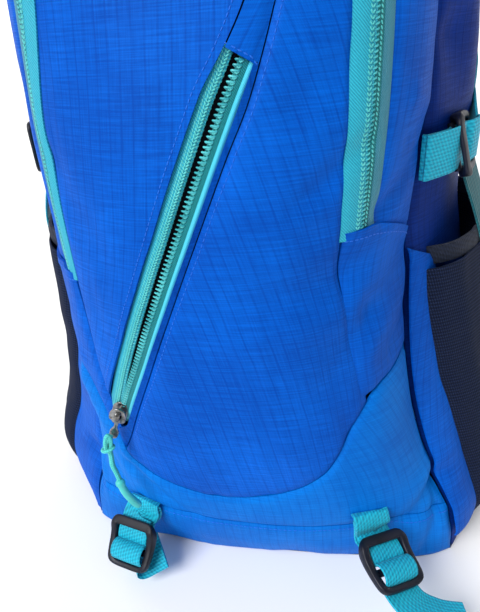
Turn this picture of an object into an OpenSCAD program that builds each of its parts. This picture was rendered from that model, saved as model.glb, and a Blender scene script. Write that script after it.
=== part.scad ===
/* [Body] */
// Height of the tub's rim above the floor
rim_height = 400; // [380:5:420]
// Sideways slump of the crown, negative to the wearer's right
slump = -18; // [-20:2:20]
// Height of the crown cap above the rim
crown_height = 56; // [40:2:70]
// Thickness of one layer of shell fabric
fabric = 1.6; // [1.2:0.1:2]
// How far the side pockets stand out
pocket_puff = 16; // [12:1:18]

/* [Straps] */
// Width of the webbing
web_w = 22; // [20:1:24]
// Thickness of the webbing
web_t = 1.4; // [1:0.1:1.6]
// Thickness of the shoulder strap padding
pad_t = 12; // [8:1:14]

/* [Zips] */
// Thickness of a zip coil
coil_t = 2.4; // [2:0.1:2.6]
// Width of a zip coil
coil_w = 3.6; // [3:0.1:4]
// Thickness of a zip slider's plate
plate_t = 1.4; // [1:0.1:1.6]

/* [Hidden] */

blue = [0.05, 0.32, 0.78];
navy = [0.06, 0.09, 0.18];
teal = [0.16, 0.70, 0.76];
black = [0.10, 0.11, 0.13];
silver = [0.72, 0.74, 0.76];
seam_gap = 0.5;
floor_t = 3;
back_y = 72;
back_t = 8;
loft = rim_height / 400;

// Outline stations from the floor to the rim: height, front centre y, zip line x and y,
// gusset seam x and y, back corner x, outward bow of the side panel
stations = [
    [0, -97, 78, -93, 124, -81, 148, 12],
    [30, -111, 78, -99, 119, -82, 152, 18],
    [70, -120, 76, -104, 104, -75, 150, 19],
    [120, -124, 73, -104, 95, -66, 146, 17],
    [200, -120, 72, -96, 98, -50, 140, 11],
    [290, -107, 76, -86, 105, -36, 137, 12],
    [400, -76, 76, -64, 102, -24, 128, 2]];

function clamp(v, lo, hi) = min(hi, max(lo, v));
function smooth(t) = let (c = clamp(t, 0, 1)) c * c * (3 - 2 * c);
function mix(a, b, t) = a + (b - a) * t;
function unit(v) = v / norm(v);

// Smooth curve through column c of a table whose first column is the parameter
function slope(tab, c, i) = let (a = max(0, i - 1), b = min(len(tab) - 1, i + 1))
    (tab[b][c] - tab[a][c]) / (tab[b][0] - tab[a][0]);
function cell(tab, z, i = 0) = i >= len(tab) - 2 || z < tab[i + 1][0] ? i : cell(tab, z, i + 1);
function curve(tab, c, zz) = let (z = clamp(zz, tab[0][0], tab[len(tab) - 1][0]), i = cell(tab, z),
    h = tab[i + 1][0] - tab[i][0], t = (z - tab[i][0]) / h,
    a = slope(tab, c, i) * h, b = slope(tab, c, i + 1) * h)
    (2 * t ^ 3 - 3 * t ^ 2 + 1) * tab[i][c] + (t ^ 3 - 2 * t ^ 2 + t) * a
    + (3 * t ^ 2 - 2 * t ^ 3) * tab[i + 1][c] + (t ^ 3 - t ^ 2) * b;

function lean(z) = slump * smooth((z / loft - 40) / 180);

// The side panel on the negative x side sags: height, how far its seam is drawn in, extra bow
sag_stations = [[0, 0, 10], [25, 0, 14], [60, -2, 9], [100, -8, 2], [150, -9, -1], [190, -5, -2], [230, 1, -5],
    [400, 2, -5]];
function drawn(s, h) = s < 0 ? curve(sag_stations, 1, h) : 0;
function swell(s, h) = s < 0 ? curve(sag_stations, 2, h) : 0;

// Straight stretch between two outline points, bowed outwards in the middle
function bowed(a, b, k, bow) = mix(a, b, k) + unit([b[1] - a[1], a[0] - b[0]]) * bow * 4 * k * (1 - k);

// Body outline: s is 0 at the front centre, 1 on the zip line, 2 on the gusset seam, 3 at the back corner
function outline(s, z) = let (h = z / loft, a = abs(s),
    zip = [curve(stations, 2, h), curve(stations, 3, h)],
    seam = [curve(stations, 4, h) - drawn(s, h), curve(stations, 5, h)],
    corner = [curve(stations, 6, h), back_y],
    mid = curve(stations, 1, h),
    p = a <= 1 ? [zip[0] * a, mix(mid, zip[1], a ^ 2.4)]
        : a <= 2 ? bowed(zip, seam, a - 1, 4)
        : bowed(seam, corner, a - 2, curve(stations, 7, h) + swell(s, h)))
    [(s < 0 ? -p[0] : p[0]) + lean(z), p[1]];

// Point on the body's skin, moved outwards by out along the outline's normal
function skin(s, z, out = 0) = let (e = 0.05, p = outline(s, z),
    d = outline(s + e, z) - outline(s - e, z), n = unit([d[1], -d[0]]))
    [p[0] + n[0] * out, p[1] + n[1] * out, z];

// Closed sheet over a grid: at(u, v) gives [s, z], sink its distance outside the skin
module sheet(at, nu, nv, t = fabric, out = 0, puff = function(u, v) 0) {
    grid = [for (side = [0, 1], j = [0:nv], i = [0:nu]) let (u = i / nu, v = j / nv, q = at(u, v))
        skin(q[0], q[1], out + puff(u, v) - side * t)];
    m = (nu + 1) * (nv + 1);
    function id(i, j, side) = side * m + j * (nu + 1) + i;
    faces = [
        for (j = [0:nv - 1], i = [0:nu - 1]) each [
            [id(i, j, 0), id(i, j + 1, 0), id(i + 1, j + 1, 0)],
            [id(i, j, 0), id(i + 1, j + 1, 0), id(i + 1, j, 0)],
            [id(i, j, 1), id(i + 1, j + 1, 1), id(i, j + 1, 1)],
            [id(i, j, 1), id(i + 1, j, 1), id(i + 1, j + 1, 1)]],
        for (i = [0:nu - 1]) each [
            [id(i, 0, 0), id(i + 1, 0, 0), id(i + 1, 0, 1)],
            [id(i, 0, 0), id(i + 1, 0, 1), id(i, 0, 1)],
            [id(i, nv, 0), id(i + 1, nv, 1), id(i + 1, nv, 0)],
            [id(i, nv, 0), id(i, nv, 1), id(i + 1, nv, 1)]],
        for (j = [0:nv - 1]) each [
            [id(0, j, 0), id(0, j + 1, 1), id(0, j + 1, 0)],
            [id(0, j, 0), id(0, j, 1), id(0, j + 1, 1)],
            [id(nu, j, 0), id(nu, j + 1, 0), id(nu, j + 1, 1)],
            [id(nu, j, 0), id(nu, j + 1, 1), id(nu, j, 1)]]];
    polyhedron(grid, faces);
}

// Unit tangent of a route at point i
function along(r, i) = unit(r[min(len(r) - 1, i + 1)] - r[max(0, i - 1)]);

// Closed sweep of rings, each a list of points in the same turning order
module loft_rings(rings) {
    n = len(rings[0]);
    last = len(rings) - 1;
    faces = [
        [for (k = [0:n - 1]) k],
        [for (k = [n - 1:-1:0]) last * n + k],
        for (i = [0:last - 1], k = [0:n - 1]) let (a = i * n + k, b = i * n + (k + 1) % n) each [
            [a, a + n, b + n], [a, b + n, b]]];
    polyhedron([for (r = rings) each r], faces);
}

// Flat strap swept along a route; across is its width direction, or one for each point
module band(route, w, t, across) {
    loft_rings([for (i = [0:len(route) - 1]) let (d = along(route, i),
        g = is_list(across[0]) ? across[i] : across,
        a = unit(g - d * (g * d)), n = cross(d, a))
        [for (c = [[-1, -1], [-1, 1], [1, 1], [1, -1]]) route[i] + a * c[0] * w / 2 + n * c[1] * t / 2]]);
}

// Round cord swept along a route
module cord(route, r, sides) {
    loft_rings([for (i = [0:len(route) - 1]) let (d = along(route, i),
        a = unit(cross(d, [1, 0, 0])), n = cross(d, a))
        [for (k = [0:sides - 1]) route[i] + r * (a * cos(-360 * k / sides) + n * sin(-360 * k / sides))]]);
}

module mirrored(side) {
    if (side < 0) mirror([1, 0, 0]) children();
    else children();
}

// ---- seams -------------------------------------------------------------------------------

// Height of the curved seam between the front panels and the base panel
smile_keys = [[-2, 148], [-1.4, 140], [-1, 96], [-0.6, 78], [0, 77], [0.6, 96], [1, 137], [1.6, 146], [2, 148]];
function smile(s) = curve(smile_keys, 1, s) * loft;
band_z = 46 * loft;

// Diagonal zip: a shallow arc from its lower stop to the garage
zip_low = [-76, -110, 120];
zip_high = [7, -102, 308];
zip_bulge = 12;
zip_out = unit([0, -1, 0.05]);
function diag(t) = mix(zip_low, zip_high, t) + zip_out * zip_bulge * 4 * t * (1 - t);
zip_side = unit(cross(zip_high - zip_low, zip_out));
function diag_x(z) = mix(zip_low[0], zip_high[0], (z - zip_low[2]) / (zip_high[2] - zip_low[2]));
slot_half = 9;
seam_keys = [[300, 3.5], [318, 6], [350, 18], [400, 30]];
function slot_x(z, side) = z < 300 ? diag_x(z) + side * slot_half
    : curve(seam_keys, 1, z) + side * mix(slot_half, seam_gap / 2, smooth((z - 304) / 14));
function to_s(x, z) = (x - lean(z)) / curve(stations, 2, z / loft);
function slot_s(z, side) = clamp(to_s(slot_x(z, side), z), -0.98, 0.98);

// Outer edge of a front panel: the side zip's tape above, the wedge's tip below
zip_end = [205, 228];
tape_in = 0.84;
tape_out = 1.18;
function end_of(side) = side < 0 ? zip_end[0] : zip_end[1];

// The zip on the negative x side runs outwards towards its lower end
function zip_drift(side, z) = side < 0 ? 0.1 * smooth((335 - z) / 65) : 0;
function wedge_s(z, side) = let (edge = tape_in + zip_drift(side, z), end = end_of(side))
    z > end ? edge : mix(1, edge, smooth((z - 130) / (end - 130)));

// The s that lies a share u of the way across at the height of the smile seam
function settle(u, lo, hi, s, n) = n == 0 ? s
    : settle(u, lo, hi, mix(lo(smile(s)), hi(smile(s)), u), n - 1);

module front_panel(lo, hi) {
    sheet(function(u, v) let (s0 = settle(u, lo, hi, mix(lo(120), hi(120), u), 4),
        z = mix(smile(s0) + seam_gap, rim_height - 1, v)) [mix(lo(z), hi(z), u), z], 9, 22);
}

module front_panel_left() {
    color(blue) front_panel(function(z) -wedge_s(z, -1) + seam_gap / 75,
        function(z) slot_s(z, -1) - seam_gap / 75);
}

module front_panel_right() {
    color(blue) front_panel(function(z) slot_s(z, 1) + seam_gap / 75,
        function(z) wedge_s(z, 1) - seam_gap / 75);
}

module wedge(side) {
    color(blue) sheet(function(u, v) let (k = side < 0 ? 1 - u : u, low = smile(side * (1 + k)) + seam_gap,
        z = mix(low, end_of(side) - seam_gap, v), s = mix(wedge_s(z, side) + seam_gap / 75, 1.985, k))
        [side * s, z], 7, 8);
}

module wedge_left() { wedge(-1); }
module wedge_right() { wedge(1); }

module gusset(side) {
    color(blue) sheet(function(u, v) let (k = side < 0 ? 1 - u : u,
        z = mix(end_of(side) + seam_gap, rim_height - 1, v))
        [side * mix(tape_out + 0.01 + zip_drift(side, z), 1.985, k), z], 4, 14);
}

module gusset_left() { gusset(-1); }
module gusset_right() { gusset(1); }

module side_panel(side) {
    color(blue) sheet(function(u, v) let (k = side < 0 ? 1 - u : u)
        [side * mix(2.01, 2.98, k), mix(floor_t + 0.4, rim_height - 1, v)], 10, 20);
}

module side_panel_left() { side_panel(-1); }
module side_panel_right() { side_panel(1); }

module base_panel() {
    color(blue) sheet(function(u, v) let (s = mix(-1.985, 1.985, u)) [s, mix(band_z, smile(s) - seam_gap, v)],
        44, 6);
}

module bottom_band() {
    color(blue) sheet(function(u, v) [mix(-1.985, 1.985, u), mix(floor_t + 0.4, band_z - seam_gap, v)], 36, 4);
}

module bottom_panel() {
    rim = [for (s = [-3:0.1:3.01]) outline(s, 0)];
    color(navy) linear_extrude(floor_t) polygon(rim);
}

// ---- back and inner pieces ------------------------------------------------------------------

function back_shape(inset, low, high) = let (zs = [for (k = [0:12]) mix(low, high, k / 12)]) concat(
    [for (z = zs) [lean(z) + curve(stations, 6, z / loft) - inset, z]],
    [for (k = [12:-1:0]) let (z = zs[k]) [lean(z) - curve(stations, 6, z / loft) + inset, z]]);

module upright(y, t, shape) {
    translate([0, y + t, 0]) rotate([90, 0, 0]) linear_extrude(t) polygon(shape);
}

module back_panel() { color(navy) upright(back_y + 0.6, back_t, back_shape(0, floor_t + 0.4, rim_height)); }

module frame_sheet() { color(black) upright(back_y - 2, 2, back_shape(14, 14, rim_height - 14)); }

module divider_panel() {
    strips = 6;
    rows = [for (k = [0:strips]) mix(floor_t + 0.4, rim_height - 4, k / strips)];
    color(navy) for (k = [0:strips - 1]) {
        low = outline(2, rows[k])[1] + 2.5;
        high = outline(2, rows[k + 1])[1] + 2.5;
        half = min(curve(stations, 4, rows[k] / loft), curve(stations, 4, rows[k + 1] / loft)) - 5;
        mid = (lean(rows[k]) + lean(rows[k + 1])) / 2;
        translate([mid - half, 0, 0]) rotate([90, 0, 90]) linear_extrude(2 * half)
            polygon([[low, rows[k]], [low + 1.2, rows[k]], [high + 1.2, rows[k + 1]], [high, rows[k + 1]]]);
    }
}

module pocket_lining() {
    color(navy) sheet(function(u, v) let (z = mix(112, 330, v), c = to_s(diag_x(z), z))
        [clamp(mix(c - 0.25, c + 0.5, u), -0.97, 0.9), z], 6, 12, t = 1, out = -7);
}

module back_pads() {
    color(black) {
        for (x = [-62, 62]) translate([x - 34, back_y + back_t + 0.9, 120]) cube([68, 11, 230]);
        translate([-96, back_y + back_t + 0.9, 26]) cube([192, 11, 82]);
    }
}

// ---- zips -----------------------------------------------------------------------------------

// Distance of a coil from the diagonal zip's centre line
function coil_gap(t) = mix(2.2, 4.6, smooth(t / 0.25));

module diag_zip(side) {
    steps = 24;
    color(teal) band([for (k = [0:steps]) diag(k / steps) + zip_side * side * (coil_gap(k / steps) + coil_w / 2)],
        coil_w, coil_t, zip_side);
}

module diag_zip_left() { diag_zip(-1); }
module diag_zip_right() { diag_zip(1); }

module zip_garage() {
    color(blue) band([for (k = [0:4]) diag(mix(0.96, 1.06, k / 4)) + zip_out * 5.2], 22, 1.2, zip_side);
}

// Point of a side zip a share u of the way between two places across it
function on_tape(side, inner, outer, u, z) =
    [side * (mix(inner, outer, side < 0 ? 1 - u : u) + zip_drift(side, z)), z];
module side_zip(side) {
    low = end_of(side);
    color(teal) {
        sheet(function(u, v) on_tape(side, tape_in + 0.01, tape_out - 0.01, u,
            mix(low + seam_gap, rim_height - 8, v)), 4, 18, t = 1);
        sheet(function(u, v) on_tape(side, 0.97, 1.05, u, mix(low + 3, rim_height - 9, v)), 2, 18, t = 2, out = 2.2);
    }
}

module side_zip_left() { side_zip(-1); }
module side_zip_right() { side_zip(1); }

module rim_zip() {
    color(teal) sheet(function(u, v) [mix(-2.98, 2.98, u), mix(rim_height - 7, rim_height - 0.6, v)],
        48, 1, t = 1.2, out = 1.6);
}

// Flat zip slider: width along x, travel along y, outside up z, resting on a tape at z = 0
module slider_top(w, l, z) {
    translate([-w / 2, -l / 2, z]) cube([w, l, plate_t]);
    for (x = [-2.9, 1.9]) translate([x, -1.8, z + plate_t]) cube([1, 3.6, 3.4]);
    translate([-2.4, 0, z + plate_t + 2.1]) rotate([0, 90, 0]) cylinder(r = 0.7, h = 4.8, $fn = 24);
}

// Pull tab on a slider's cross pin, hanging towards -y
module pull(z, l) {
    translate([0, 0, z + plate_t + 2.1]) difference() {
        union() {
            translate([-1.5, 0, 0]) rotate([0, 90, 0]) cylinder(r = 1.7, h = 3, $fn = 24);
            translate([-1.5, -6, -0.7]) cube([3, 5, 1.4]);
            translate([-4, -l, -0.7]) cube([8, l - 6, 1.4]);
        }
        translate([-3, 0, 0]) rotate([0, 90, 0]) cylinder(r = 0.95, h = 6, $fn = 24);
        translate([-1.6, -l + 4, -2]) cube([3.2, l - 14, 4]);
    }
}

diag_start = 0.04;
function heading(v) = atan2(v[0], v[2]);

// Places children on the diagonal zip at its share t: y runs up the zip, z out of the bag
module on_diag(t) {
    d = unit(diag(t + 0.01) - diag(t - 0.01));
    translate(diag(t)) rotate([0, heading(d), 0]) rotate([90 - asin(d[1]), 0, 0]) children();
}

module diag_slider() {
    color(silver) on_diag(diag_start) {
        slider_top(10, 12, coil_t / 2 + 0.5);
        translate([-5, -6, -coil_t / 2 - 0.5 - plate_t]) cube([10, 12, plate_t]);
        translate([-1, 1.5, -coil_t / 2 - 1]) cube([2, 4, coil_t + 2]);
    }
}

module diag_tab() { color(silver) on_diag(diag_start) pull(coil_t / 2 + 0.5, 19); }

// Side zip sliders rest at the upper end of their zips
side_turn = 30;
side_lean = 11.3;
slider_rest_z = 376;
module on_side_zip(side) {
    translate(skin(side * 1.01, slider_rest_z)) rotate([90 - side_lean, 0, 0]) rotate([0, side * side_turn, 0])
        children();
}

module side_slider(side) { color(silver) on_side_zip(side) slider_top(10, 12, 3.4); }
module side_slider_left() { side_slider(-1); }
module side_slider_right() { side_slider(1); }
module side_pull(side) { color(black) on_side_zip(side) pull(3.4, 26); }
module side_pull_left() { side_pull(-1); }
module side_pull_right() { side_pull(1); }

// Crown zip sliders meet halfway along the right side of the rim
module crown_slider(s) {
    translate(skin(s, rim_height + 1)) rotate([90, 0, 75]) rotate([0, 0, 90]) {
        color(silver) translate([-6, -5, 4]) cube([12, 10, plate_t]);
        color(silver) translate([-3, -3, 4 + plate_t]) cube([6, 6, 2]);
    }
}

module crown_slider_front() { crown_slider(2.42); }
module crown_slider_rear() { crown_slider(2.56); }

// ---- puller cord ------------------------------------------------------------------------------

puller_route = [[-79, -116, 114], [-80, -119, 107], [-80, -119, 101], [-80, -120, 95], [-79, -120, 90],
    [-78, -120, 84]];
grip_route = [[-78, -120, 84], [-77, -121, 80], [-75, -121, 73], [-72, -120, 66], [-70, -118, 60]];

module puller_cord() { color(teal) cord(puller_route, 1.5, 8); }
module puller_grip() { color(teal) cord(grip_route, 2.4, 10); }

// ---- mesh pockets --------------------------------------------------------------------------------

pocket_top = [186, 196];
function pocket_front(side) = side < 0 ? 2.3 : 2.13;
flat_share = 0.72;
function pocket_depth(side) = side < 0 ? pocket_puff * flat_share : pocket_puff;
function pocket_at(side, u, v, low, high) = let (k = side < 0 ? 1 - u : u)
    [side * mix(pocket_front(side), 2.93, k), mix(low, mix(high[0], high[1], k), v)];
function puffed(u, v, depth) = depth * (1 - (2 * u - 1) ^ 4) * (1 - (1 - min(1, v * 5)) ^ 2);

module mesh_pocket(side) {
    color(navy) sheet(function(u, v) pocket_at(side, u, v, 10, pocket_top), 12, 12, t = 1.2,
        out = 1.8, puff = function(u, v) puffed(u, v, pocket_depth(side)));
}

module mesh_pocket_left() { mesh_pocket(-1); }
module mesh_pocket_right() { mesh_pocket(1); }

module pocket_bindings() {
    color(black) for (side = [-1, 1]) sheet(function(u, v) let (q = pocket_at(side, u, 1, 10, pocket_top))
        [q[0], q[1] + mix(0.5, 10, v)], 12, 1, t = 1.6, out = 2, puff = function(u, v) puffed(u, 1, pocket_depth(side)));
}

// ---- webbing ------------------------------------------------------------------------------------

// Three-bar ladder lock: the sewn bar on the x axis, the free end towards +y, a lip over the webbing
lock_w = web_w + 11;
lock_l = 27;
rail_w = 5;
rail_t = 4;
bar_w = lock_w - rail_w;
bar_r = 1.9;
lip_y = -5.5;
lip_l = 8;
lip_z = 4.8;
lip_t = 2.2;
mid_y = 11;
mid_l = 4;
mid_t = 3.2;
end_y = 19.5;
end_l = 5;
module lock_block(x, wide, y, long, z, tall) {
    translate([x - wide / 2, y, z]) cube([wide, long, tall]);
}
module ladder_lock() {
    color(black) {
        rotate([0, 90, 0]) cylinder(r = bar_r, h = web_w + 2, center = true, $fn = 24);
        for (side = [-1, 1]) {
            lock_block(side * bar_w / 2, rail_w, lip_y, lock_l + 3, -rail_t / 2, rail_t);
            lock_block(side * bar_w / 2, rail_w, lip_y, lip_l, 1, lip_z + lip_t - 1);
        }
        lock_block(0, bar_w, lip_y, lip_l, lip_z, lip_t);
        lock_block(0, bar_w, mid_y, mid_l, -mid_t / 2, mid_t);
        lock_block(0, bar_w, end_y, end_l, -rail_t / 2, rail_t);
    }
}

// Placing a point from a sewn bar's own frame: x along the bar, y towards the lock's free end
function turn_x(p, a) = [p[0], p[1] * cos(a) - p[2] * sin(a), p[1] * sin(a) + p[2] * cos(a)];
function turn_z(p, a) = [p[0] * cos(a) - p[1] * sin(a), p[0] * sin(a) + p[1] * cos(a), p[2]];
function turn_y(p, a) = [p[0] * cos(a) + p[2] * sin(a), p[1], p[2] * cos(a) - p[0] * sin(a)];
function at_lash(bar, p) = bar[0] + turn_z(turn_x(turn_y(p, bar[3]), -bar[1]), 180 + bar[2]);

// Turn of webbing round a bar at the origin, from below it to above it
loop_r = 3.4;
loop_points = [for (a = [-100:25:100]) [0, loop_r * cos(a), loop_r * sin(a)]];

// Adjusting webbing through a ladder lock, its tail leaving under the free end
module lock_tail(tail) {
    color(teal) band(concat([[0, 4.9, -4.2], [0, 7, -3.2], [0, 8.4, 0], [0, 10, 3], [0, 13, 3.6], [0, 16, 3],
        [0, 17.3, 0], [0, 19, -3.4], [0, 25, -4]], tail), web_w - 1, web_t, [1, 0, 0]);
}

// Places of the sewn bars: point, tilt below the horizontal, turn about the upright, twist
lash_bars = [[[-79, -112, 31], 42, -12, 6], [[73, -115, 40], 12, 32, -12]];
lash_sewn = [[-0.93, 50], [0.87, 60]];
module at_bar(bar) {
    translate(bar[0]) rotate([0, 0, 180 + bar[2]]) rotate([-bar[1], 0, 0]) rotate([0, bar[3], 0]) children();
}

module lash_webbing() {
    color(teal) for (k = [0, 1]) {
        bar = lash_bars[k];
        s = lash_sewn[k][0];
        top = lash_sewn[k][1];
        route = concat([skin(s, top, 3.6), at_lash(bar, [0, -7.5, -2.8])],
            [for (p = loop_points) at_lash(bar, p)],
            [at_lash(bar, [0, -7, 2.2])]);
        band(route, web_w, web_t, [for (p = route) at_lash(bar, [-1, 0, 0]) - bar[0]]);
    }
}

module lash_lock_left() { at_bar(lash_bars[0]) ladder_lock(); }
module lash_lock_right() { at_bar(lash_bars[1]) ladder_lock(); }
module lash_tail_left() { at_bar(lash_bars[0]) lock_tail([[0, 28, -4.4]]); }
module lash_tail_right() {
    at_bar(lash_bars[1]) lock_tail([[-1, 29, -4.4], [-4, 35, -4], [-10, 41, -3], [-17, 46, -2], [-25, 50, -1]]);
}

// Compression strap locks on the side panels, bars upright
side_bar_z = 247;
side_bar_out = 5.5;
strap_climb = 70;
function bar_s(side) = side < 0 ? 2.45 : 2.2;
function side_dir(side) = unit(skin(side * (bar_s(side) + 0.14), side_bar_z) - skin(side * bar_s(side), side_bar_z));
function side_turn_at(side) = let (d = side_dir(side)) atan2(d[1], d[0]) - 90;
function at_side(side, p) = skin(side * bar_s(side), side_bar_z, side_bar_out)
    + turn_z(turn_y(p, side * 90), side_turn_at(side));
module at_side_bar(side) {
    translate(skin(side * bar_s(side), side_bar_z, side_bar_out))
        rotate([0, 0, side_turn_at(side)]) rotate([0, side * 90, 0]) children();
}

module compression_webbing() {
    color(teal) for (side = [-1, 1]) {
        sewn = side < 0 ? [1.98, 2.1, 2.22] : [1.98];
        front = concat([for (s = sewn) skin(side * s, side_bar_z, 2)], [at_side(side, [0, -9, -2.6])],
            [for (p = loop_points) at_side(side, p)], [at_side(side, [0, -9, 2.2])],
            [for (k = [len(sewn) - 1:-1:0]) skin(side * sewn[k], side_bar_z, 4.2)]);
        band(front, web_w, web_t, [0, 0, -side]);
        rear_s = side < 0 ? [2.8, 2.88, 2.95] : [2.6, 2.7, 2.8, 2.9];
        rear = concat([at_side(side, [0, 19, -3.3]), at_side(side, [0, 32, -4])],
            [for (s = rear_s) skin(side * s, side_bar_z + (s - bar_s(side) - 0.25) * strap_climb, 2.2)]);
        band(rear, web_w - 1, web_t, [0, 0, -side]);
    }
}

module side_lock_left() { at_side_bar(-1) ladder_lock(); }
module side_lock_right() { at_side_bar(1) ladder_lock(); }

// Free tail of the compression strap, hanging from its lock over the mesh pocket
module side_tail_left() { hanging_tail(-1); }
module side_tail_right() { hanging_tail(1); }
module hanging_tail(side) {
    drop = side < 0 ? [[-6, 11], [-16, 12], [-30, 14.5], [-46, 17], [-62, 18], [-80, 19]]
        : [[-6, 11], [-16, 13.5], [-30, 17.5], [-46, 21], [-62, 22.5], [-80, 24]];
    route = [for (k = [0:len(drop) - 1])
        skin(side * (bar_s(side) + 0.16 + 0.03 * k), side_bar_z - 8 + drop[k][0], drop[k][1])];
    color(teal) band(route, web_w - 1, web_t, side_dir(side) * -1);
}

// ---- shoulder harness ------------------------------------------------------------------------------

strap_route = [[46, 88, 366], [47, 97, 362], [51, 113, 346], [56, 125, 318], [62, 130, 280], [70, 128, 240],
    [79, 121, 205], [87, 113, 180]];
strap_w = [58, 62, 66, 66, 64, 58, 48, 36];
module shoulder_strap(side) {
    r = strap_route;
    color(black) mirrored(side) loft_rings([for (i = [0:len(r) - 1]) let (d = along(r, i),
        a = unit([1, 0, 0] - d * d[0]), n = cross(d, a))
        [for (c = [[-1, -0.35], [-0.86, 0.5], [0.86, 0.5], [1, -0.35], [0.86, -0.5], [-0.86, -0.5]])
            r[i] + a * c[0] * strap_w[i] / 2 + n * c[1] * pad_t]]);
}

module shoulder_strap_left() { shoulder_strap(-1); }
module shoulder_strap_right() { shoulder_strap(1); }

strap_bar = [90, 108, 166];
strap_tilt = 104;
function at_strap(p) = strap_bar + turn_x(p, -strap_tilt);
module at_strap_bar(side) {
    mirrored(side) translate(strap_bar) rotate([-strap_tilt, 0, 0]) children();
}

module strap_lock_left() { at_strap_bar(-1) ladder_lock(); }
module strap_lock_right() { at_strap_bar(1) ladder_lock(); }

// Loop from each shoulder strap to its lock, and the webbing from the lock to the lower corner
module lower_webbing() {
    loop = concat([at_strap([0, -11, -1.4])], [for (p = loop_points) at_strap(p)], [at_strap([0, -11, 1.4])]);
    threaded = [for (p = [[0, 7.6, 5], [0, 7.6, 0], [0, 9, -3.4], [0, 13, -4], [0, 16.4, -3.4], [0, 17.3, 0],
        [0, 18.4, 3.6], [0, 26, 4.4], [0, 34, 4]]) at_strap(p)];
    fall = [[93, 104, 112], [99, 100, 92], [108, 95, 72], [118, 89, 54], [126, 83.4, 38]];
    turned = concat([for (p = threaded) [1, 0, 0]], [for (p = fall) [1, 0, 0.2]]);
    color(teal) for (side = [-1, 1]) mirrored(side) {
        band(loop, web_w, web_t, [1, 0, 0]);
        band(concat(threaded, fall), web_w - 1, web_t, turned);
    }
}

module haul_loop() {
    r = [[-45, 82.4, 388], [-41, 88, 388], [-31, 98, 388], [-16, 105, 388], [0, 107, 388], [16, 105, 388],
        [31, 98, 388], [41, 88, 388], [45, 82.4, 388]];
    color(teal) translate([slump, 0, 0]) band(r, 20, 2, [0, 0, 1]);
}

// ---- sternum strap -----------------------------------------------------------------------------------

sternum_z = 300;
sternum_y = 141.5;
module sternum_strap_left() {
    color(teal) band([[-60, sternum_y - 3.4, sternum_z], [-34, sternum_y, sternum_z], [-14.2, sternum_y, sternum_z]],
        20, web_t, [0, 0, 1]);
}
module sternum_strap_right() {
    color(teal) band([[15.2, sternum_y, sternum_z], [34, sternum_y, sternum_z], [60, sternum_y - 3.4, sternum_z]],
        20, web_t, [0, 0, 1]);
}

module sternum_socket() {
    color(black) translate([-14, sternum_y - 4, sternum_z - 13]) difference() {
        cube([22, 8, 26]);
        translate([4, 2, 3]) cube([20, 4, 20]);
        for (z = [-1, 23]) translate([8, 2.5, z]) cube([8, 3, 4]);
    }
}

module sternum_plug() {
    color(black) {
        translate([8.6, sternum_y - 4, sternum_z - 12]) cube([6, 8, 24]);
        translate([-8, sternum_y - 1.4, sternum_z - 2]) cube([16.8, 2.8, 4]);
        for (side = [-1, 1]) translate([-6, sternum_y - 1.4, sternum_z + side * 7.5 - 1.5]) cube([14.8, 2.8, 3]);
    }
}

// ---- crown cap ------------------------------------------------------------------------------------------

cap_t = 2.6;
function cap_point(s, k, inset) = let (p = s > 3 ? mix(outline(3, rim_height), outline(-3, rim_height), s - 3)
        : outline(s, rim_height),
    c = [slump, 2], shrink = (1 - inset / 90) * max(0, cos(k)) ^ 0.55)
    [mix(c[0], p[0], shrink), mix(c[1], p[1], shrink), rim_height + 1.6 + (crown_height - inset) * sin(k) ^ 0.85];

module crown_cap() {
    ss = concat([for (k = [0:39]) -3 + 6 * k / 40], [for (k = [0:7]) 3 + k / 8]);
    n = len(ss);
    arc = [0, 12, 26, 42, 58, 74, 82];
    m = len(arc);
    shell = [for (side = [0, 1], k = arc, s = ss) cap_point(s, k, side * cap_t)];
    tops = [for (side = [0, 1]) cap_point(0, 90, side * cap_t)];
    function id(side, i, k) = (side * m + i) * n + k % n;
    faces = [
        for (i = [0:m - 2], k = [0:n - 1]) each [
            [id(0, i, k), id(0, i + 1, k), id(0, i + 1, k + 1)],
            [id(0, i, k), id(0, i + 1, k + 1), id(0, i, k + 1)],
            [id(1, i, k), id(1, i + 1, k + 1), id(1, i + 1, k)],
            [id(1, i, k), id(1, i, k + 1), id(1, i + 1, k + 1)]],
        for (k = [0:n - 1]) each [
            [id(0, m - 1, k), 2 * m * n, id(0, m - 1, k + 1)],
            [id(1, m - 1, k), id(1, m - 1, k + 1), 2 * m * n + 1],
            [id(0, 0, k), id(0, 0, k + 1), id(1, 0, k + 1)],
            [id(0, 0, k), id(1, 0, k + 1), id(1, 0, k)]]];
    color(blue) polyhedron(concat(shell, tops), faces);
}

module crown_zip() {
    color(teal) sheet(function(u, v) [mix(-2.95, 2.95, u), rim_height + mix(2.2, 8, v)], 48, 1, t = 1.2, out = 1.6);
}

bottom_panel();
bottom_band();
base_panel();
front_panel_left();
front_panel_right();
wedge_left();
wedge_right();
gusset_left();
gusset_right();
side_panel_left();
side_panel_right();
back_panel();
frame_sheet();
divider_panel();
pocket_lining();
diag_zip_left();
diag_zip_right();
zip_garage();
side_zip_left();
side_zip_right();
rim_zip();
mesh_pocket_left();
mesh_pocket_right();
pocket_bindings();
back_pads();
shoulder_strap_left();
shoulder_strap_right();
lower_webbing();
haul_loop();
sternum_strap_left();
sternum_strap_right();
sternum_socket();
sternum_plug();
compression_webbing();
lash_webbing();
lash_lock_left();
lash_lock_right();
lash_tail_left();
lash_tail_right();
side_lock_left();
side_lock_right();
side_tail_left();
side_tail_right();
strap_lock_left();
strap_lock_right();
crown_cap();
crown_zip();
diag_slider();
diag_tab();
puller_cord();
puller_grip();
side_slider_left();
side_slider_right();
side_pull_left();
side_pull_right();
crown_slider_front();
crown_slider_rear();
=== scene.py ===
"""Looks of the daypack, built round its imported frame. Lengths are in millimetres until a mesh is made."""
import math

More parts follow.
